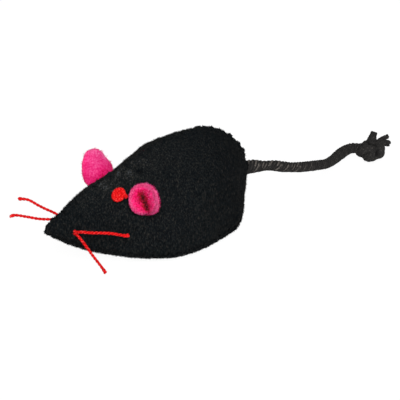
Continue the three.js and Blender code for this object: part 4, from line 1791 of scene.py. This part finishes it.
@dataclass
class WhiskerThread:
    """A whisker: one stiff two-ply thread passed straight through the snout, with both its ends free."""

    name: str
    node: str
    left: tuple[Place, ...]
    right: tuple[Place, ...]
    height: float
    form: BodyForm
    # The holes and the middle of the snout: millimetres behind the nose, then across
    behind: float = 8.0
    straight: tuple[float, ...] = (-4.0, 0.0, 4.0)
    diameter: float = 0.9
    spacing: float = 0.18
    # Cut ends: the length rounded off, the girth left at the cut, and how much and how far they swell
    cut_round: float = 0.5
    cut_least: float = 0.02
    end_swell: float = 0.4
    end_reach: float = 1.6
    path_step: int = 4
    twist: Twist = Twist(
        strands=2, radius=0.47, strand=0.31, lay=2.4, yarns=3, yarn_lay=1.6, sides=8, core=False
    )
    fuzz: Fibres = Fibres(count=420, shortest=0.12, longest=0.45, width=0.05, lean=1.3, tone=(-0.1, 0.3))
    seed: int = 41

    def build(self) -> None:
        """Its cut ends swell by a bell curve of the length from them, and are rounded off as a quarter circle.
        """
        nose = np.array([-self.form.length / 2, 0.0, self.form.seam_height + self.form.nose_lift])
        inside = [(self.behind, place, self.height) for place in self.straight]
        route = nose + np.array([*self.left, *inside, *self.right])
        path = even_path(route, self.spacing)
        run = arc_lengths(path)
        from_end = np.minimum(run, run[-1] - run)
        short = np.clip(1 - from_end / self.cut_round, 0, 1)
        rounded = np.sqrt(np.clip(1 - short**2, self.cut_least, 1))
        girth = (1 + self.end_swell * bell(from_end, self.end_reach)) * rounded
        shells, fleece = self.twist.shells(path, girth=girth)
        shells.append(self.fuzz.evenly(fleece, self.seed))
        piece = make_piece(self.name, shells, RED_YARN.material())
        place_piece(piece, Moves.TRUNK, "red_yarn", self.node)


@dataclass
class RopeTail:
    """The tail: a laid cord that comes out of the back seam, bends at its root and ends in a knot."""

    line: TailLine
    twist: Twist = Twist(
        strands=6, radius=1.66, strand=0.66, lay=9.0, yarns=5, yarn_lay=4.2, sides=16, streak=0.36
    )
    knot_twist: Twist = Twist(
        strands=6,
        radius=1.75,
        strand=0.98,
        lay=8.0,
        yarns=5,
        yarn_groove=0.03,
        yarn_lay=4.2,
        sides=16,
        contrast=0.25,
        level=0.62,
    )
    ply_twist: Twist = Twist(
        strands=4,
        radius=1.0,
        strand=0.6,
        lay=4.2,
        yarns=3,
        yarn_groove=0.04,
        yarn_lay=2.4,
        sides=12,
        contrast=0.35,
        level=0.54,
    )
    # Thickness of the cord: millimetres from its inner end, then a factor
    thickness: tuple[Pair, ...] = (
        (0, 1.36), (10.2, 1.36), (13.4, 1.33), (15.1, 1.22), (16.7, 1.06), (18.2, 0.99), (20, 1.03),
        (23.2, 1.12), (26.8, 1.07), (28.7, 1.0), (34, 1.05), (43, 1.05), (46, 1.02), (50, 1.01), (54, 1.03),
        (57, 1.08), (61, 1.16), (64, 1.2), (67.3, 1.13), (70, 1.1), (80, 1.08),
    )
    root_sag: float = 0.6
    root_sag_reach: float = 2.2
    # Half the length of the stretch about each of the cord's two pivots
    bend: float = 2.6
    spacing: float = 0.3
    path_step: int = 4
    # The knot is a trefoil, turned and tilted in degrees, with a crease pressed into its near side
    knot_ring: float = 2.85
    knot_lobe: float = 0.95
    knot_weave: float = 1.32
    knot_turn: float = 29.5
    knot_tilt: Place = (-9.1, -2.7, 0.0)
    knot_samples: int = 400
    crease_ends: tuple[Place, Place] = ((63.1, 10.5, 5.9), (62.6, 10.0, 4.3))
    crease_width: float = 0.6
    crease_depth: float = 0.9
    crease_shade: float = 0.6
    # Plies that stand out of the knot, each with its thickness at its foot and at its tip
    ply_ends: tuple[tuple[Place, ...], ...] = (
        ((65.0, 16.8, 5.2), (65.8, 17.5, 7.0), (66.7, 17.9, 8.75)),
        ((66.6, 16.0, 4.6), (69.2, 16.7, 6.0), (71.8, 16.4, 6.9)),
        ((66.6, 15.6, 4.4), (69.2, 15.6, 5.2), (71.4, 15.0, 4.8)),
    )
    ply_girths: tuple[Pair, ...] = ((2.5, 1.25), (1.6, 0.85), (1.4, 1.2))
    ply_spacing: float = 0.2
    fuzz: Fibres = Fibres(count=1600, shortest=0.2, longest=0.6, width=0.06, lean=1.3, tone=(-0.1, 0.25))
    root_fibres: int = 260
    knot_fibres: int = 700
    seed: int = 53

    def piece(
        self, name: str, twist: Twist, path: Array, start: float, cord: bpy.types.Material, fibres: int
    ) -> bpy.types.Object:
        """Makes one fuzzy length of cord.

        Args:
            name: The piece's name.
            twist: How its strands are laid.
            path: Its middle line.
            start: The length of cord before it.
            cord: Its finish.
            fibres: How many fibres stand out of it.

        Returns:
            The piece.
        """
        girth = eased(start + arc_lengths(path), self.thickness) if twist is self.twist else None
        shells, fleece = twist.shells(path, start, girth=girth)
        shells.append(replace(self.fuzz, count=fibres).evenly(fleece, self.seed + fibres))
        if twist is self.knot_twist:
            self.press_crease(shells)
        return make_piece(name, shells, cord)

    def press_crease(self, shells: list[Shell]) -> None:
        """Presses a crease into the knot's near side, and darkens it with painted shade.

        A bell curve of each point's distance from a short line draws it towards the knot's middle and
        darkens it.

        Args:
            shells: The knot's shells, which are changed in place.
        """
        top, foot = (self.line.behind(place) for place in self.crease_ends)
        middle = self.line.behind(self.line.knot)
        span = foot - top
        for shell in shells:
            share = np.clip((shell.points - top) @ span / (span @ span), 0, 1)[:, None]
            pull = bell(np.linalg.norm(shell.points - top - share * span, axis=1), self.crease_width)
            shell.points = shell.points - unit(shell.points - middle) * (self.crease_depth * pull)[:, None]
            shell.tone = np.clip(shell.tone - self.crease_shade * pull, 0, 1)

    def hinged(self, piece: bpy.types.Object, first: Moves, second: Moves, pivot: Array) -> None:
        """Bakes a length of cord's place into its mesh; it works out the ends of a short stretch about the
        pivot, but nothing bends.

        Args:
            piece: The length of cord.
            first: Not used.
            second: Not used.
            pivot: The middle of the bend.
        """
        reach = self.bend * self.line.outward
        start, end = tuple((pivot - reach) * MM), tuple((pivot + reach) * MM)
        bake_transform(piece)
        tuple(start)
        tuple(end)

    def knot_path(self) -> Array:
        """The knot's middle line: a trefoil, twice round a ring and three times in and out of it.

        Returns:
            The line's points.
        """
        angle = np.linspace(0, TURN, self.knot_samples)
        ring = self.knot_ring + self.knot_lobe * np.cos(3 * angle)
        turn = 2 * angle + math.radians(self.knot_turn)
        lobes = np.stack([ring * np.cos(turn), ring * np.sin(turn), self.knot_weave * np.sin(3 * angle)], -1)
        tilt = Euler([math.radians(part) for part in self.knot_tilt]).to_matrix()
        return resampled(self.line.behind(self.line.knot) + lobes @ np.array(tilt).T, self.spacing)

    def plies(self, cord: bpy.types.Material) -> bpy.types.Object:
        """Makes the ply ends, which taper from foot to tip with the square of the way left.

        Args:
            cord: Their finish.

        Returns:
            The piece.
        """
        shells: list[Shell] = []
        for end, (foot, tip) in zip(self.ply_ends, self.ply_girths):
            path = even_path([self.line.behind(place) for place in end], self.ply_spacing)
            girth = tip + (foot - tip) * np.linspace(1, 0, len(path)) ** 2
            strands, _ = self.ply_twist.shells(path, reference=RIGHTWARD, girth=girth)
            shells += strands
        return make_piece("tail_ply_ends", shells, cord)

    def build(self) -> None:
        cord = CHARCOAL_CORD.material()
        line = self.line
        middle = (line.lift_pivot + line.swing_pivot) / 2
        straight = resampled(np.stack([line.from_exit(-line.anchor), middle]), self.spacing)
        beyond = arc_lengths(straight) - line.anchor
        straight = straight - UP * (self.root_sag * bell(beyond, self.root_sag_reach))[:, None]
        root = self.piece("tail_root_cord", self.twist, straight, 0.0, cord, self.root_fibres)
        self.hinged(root, Moves.TRUNK, Moves.TAIL_ROOT, line.lift_pivot)
        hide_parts("tail_anchor", "tail_root")

        lead = line.swing_pivot + line.cord / 2 * line.outward
        route = [line.behind(place) for place in line.route]
        into_knot = route[-1] + unit(route[-1] - route[-2]) * line.cord / 2
        path = even_path([middle, line.swing_pivot, lead, *route, into_knot], self.spacing)
        start = arc_lengths(straight)[-1]
        main_cord = self.piece("tail_cord_laid", self.twist, path, start, cord, self.fuzz.count)
        self.hinged(main_cord, Moves.TAIL_ROOT, Moves.TAIL, line.swing_pivot)
        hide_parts("tail_cord")

        knot = self.piece("tail_knot_laid", self.knot_twist, self.knot_path(), 0.0, cord, self.knot_fibres)
        place_piece(knot, Moves.TAIL, "charcoal_cord", "tail_knot")
        plies = place_piece(self.plies(cord), Moves.TAIL, "charcoal_cord")
        tuple(np.array(line.exit_point) * MM)
        float(arc_lengths(path)[-1]) * MM


@dataclass
class Studio:
    """A white table in soft light, and the camera at the photograph's place."""

    camera_at: Place = (-216.09, -390.04, 239.1)
    look_at: Place = (15.514, -7.198, 14.347)
    roll: float = 0.97
    lens: float = 143.97
    floor_size: float = 2.4
    floor_white: float = 0.93
    floor_glow: float = 1.04
    world_light: float = 0.34
    key_at: Place = (-230.0, -570.0, 620.0)
    key_size: float = 0.5
    key_power: float = 8.0

    def floor(self) -> None:
        """Lays the floor: pale paper that the camera sees nearly white, with only a trace of shadow."""
        material, tree = new_material("white_paper")
        seen = add_node(tree, "ShaderNodeLightPath").outputs["Is Camera Ray"]
        share = add_node(tree, "ShaderNodeMath", {0: seen, 1: self.floor_white}, operation="MULTIPLY")
        paper = add_node(
            tree,
            "ShaderNodeBsdfPrincipled",
            {"Base Color": linear("#F4F4F4"), "Roughness": 0.9, "Specular IOR Level": 0.1},
        )
        glow = {"Color": linear("#FFFFFF"), "Strength": self.floor_glow}
        white = add_node(tree, "ShaderNodeEmission", glow)
        mixed = add_node(
            tree, "ShaderNodeMixShader", {0: share.outputs[0], 1: paper.outputs[0], 2: white.outputs[0]}
        )
        add_node(tree, "ShaderNodeOutputMaterial", {"Surface": mixed.outputs[0]})
        half = self.floor_size / 2
        corners = [(-half, -half, 0), (half, -half, 0), (half, half, 0), (-half, half, 0)]
        mesh = bpy.data.meshes.new("floor")
        mesh.from_pydata(corners, [], [(0, 1, 2, 3)])
        mesh.materials.append(material)
        floor = bpy.data.objects.new("floor", mesh)
        bpy.context.scene.collection.objects.link(floor)

    def light(self) -> None:
        """Lights the table: an even white room, and one large soft lamp above the mouse's left side."""
        world = bpy.data.worlds.new("room")
        world.use_nodes = True
        world.node_tree.nodes.clear()
        tree = world.node_tree
        seen = add_node(tree, "ShaderNodeLightPath").outputs["Is Camera Ray"]
        limits = {"Value": seen, "To Min": self.world_light, "To Max": 1.0}
        level = add_node(tree, "ShaderNodeMapRange", limits)
        white = {"Color": linear("#FFFFFF"), "Strength": level.outputs[0]}
        room = add_node(tree, "ShaderNodeBackground", white)
        add_node(tree, "ShaderNodeOutputWorld", {"Surface": room.outputs[0]})
        bpy.context.scene.world = world
        lamp = bpy.data.lights.new("key", "AREA")
        lamp.size = self.key_size
        lamp.energy = self.key_power
        self.aimed("key", lamp, self.key_at)

    def aimed(self, name: str, data: bpy.types.ID, place: Place, roll: float = 0.0) -> bpy.types.Object:
        """Puts a lamp or camera at a place and turns it towards the mouse.

        Args:
            name: The object's name.
            data: The lamp or camera.
            place: Where it stands.
            roll: Degrees that it is turned about its line of sight.

        Returns:
            The object.
        """
        thing = bpy.data.objects.new(name, data)
        bpy.context.scene.collection.objects.link(thing)
        thing.location = Vector(place) * MM
        towards = (Vector(self.look_at) - Vector(place)).to_track_quat("-Z", "Y")
        thing.rotation_euler = (towards @ Quaternion((0, 0, 1), math.radians(roll))).to_euler()
        return thing

    def build(self) -> None:
        """Builds the floor, the light and the camera."""
        self.floor()
        self.light()
        camera = bpy.data.cameras.new("camera")
        camera.lens = self.lens
        scene = bpy.context.scene
        scene.camera = self.aimed("camera", camera, self.camera_at, self.roll)
        scene.view_settings.view_transform = "Standard"


def main() -> None:
    """Builds the mouse and the studio."""
    logging.basicConfig(level=logging.INFO, format="%(name)s %(message)s")
    form, line = BodyForm(), TailLine()
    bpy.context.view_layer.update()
    RopeTail(line).build()
    WhiskerThread(
        name="upper_whisker",
        node="whisker_thread_upper",
        left=(
            (21.4, -14.4, 0.25),
            (20.6, -14.2, 0.05),
            (18.7, -13.7, 0.6),
            (16.0, -12.6, 1.3),
            (13.4, -11.3, 1.5),
            (10.9, -9.6, 1.4),
            (9.0, -7.7, 1.25),
            (8.2, -6.1, 0.7),
            (8.0, -4.9, 0.3),
        ),
        right=(
            (7.7, 6.4, 1.1),
            (6.8, 7.8, 1.6),
            (5.0, 10.3, 2.3),
            (3.9, 12.1, 2.8),
            (1.8, 14.8, 4.0),
            (-0.5, 17.2, 3.9),
        ),
        height=0.5,
        form=form,
    ).build()
    WhiskerThread(
        name="lower_whisker",
        node="whisker_thread_lower",
        left=(
            (10.6, -19.6, -7.5),
            (10.6, -17.7, -6.9),
            (10.3, -15.5, -5.9),
            (9.8, -13.0, -4.6),
            (9.4, -10.5, -3.3),
            (8.8, -7.8, -1.6),
            (8.0, -4.9, -0.15),
        ),
        right=(
            (7.7, 6.5, -0.6),
            (5.8, 8.0, -0.7),
            (3.0, 9.9, -0.7),
            (0.1, 11.9, -0.2),
            (-3.1, 14.3, 0.1),
            (-4.4, 15.3, -0.5),
        ),
        height=-0.8,
        form=form,
        seed=43,
    ).build()
    FeltBody(form, line).build()
    OvercastSeams(form, line).build()
    Filling(form).build()
    PleatedEar(
        name="left_ear_felt",
        node="left_ear",
        body=Moves.LEFT_EAR,
        side=Side.LEFT,
        place=(77.2, 0.65),
        top=(-0.08, 0.18, 0.98),
        facing=(-0.69, -0.72, 0.08),
        pleat=0.94,
        form=form,
        disc=11.0,
        cut=(
            (0, -0.6), (45, -0.6), (90, -0.7), (130, -0.4), (180, -0.6), (225, -0.3), (250, 0), (290, 0.15),
            (315, -0.2), (360, -0.6),
        ),
    ).build()
    PleatedEar(
        name="right_ear_felt",
        node="right_ear",
        body=Moves.RIGHT_EAR,
        side=Side.RIGHT,
        place=(79.7, 0.67),
        top=(-0.56, 0.27, 0.78),
        facing=(-0.23, 0.86, -0.46),
        pleat=0.6,
        form=form,
        disc=12.6,
        cut=(
            (0, 0.3), (20, 0), (40, -0.25), (65, 0), (92, 0.4), (112, 0), (142, -0.2), (160, -0.35),
            (178, -0.9), (195, -0.55), (214, 0.5), (240, 0.1), (270, 0), (330, 0.2), (360, 0.3),
        ),
        fuzz=Fibres(count=3000, shortest=0.1, longest=0.5, width=0.1, lean=1.2, tone=(-0.1, 0.3)),
        seed=29,
    ).build()
    YarnEye(name="left_eye_yarn", node="left_eye", side=Side.LEFT, place=(64.2, 0.375), form=form).build()
    YarnEye(
        name="right_eye_yarn", node="right_eye", side=Side.RIGHT, place=(61.0, 0.62), form=form, seed=37
    ).build()
    Studio().build()


if __name__ == "__main__":
    main()
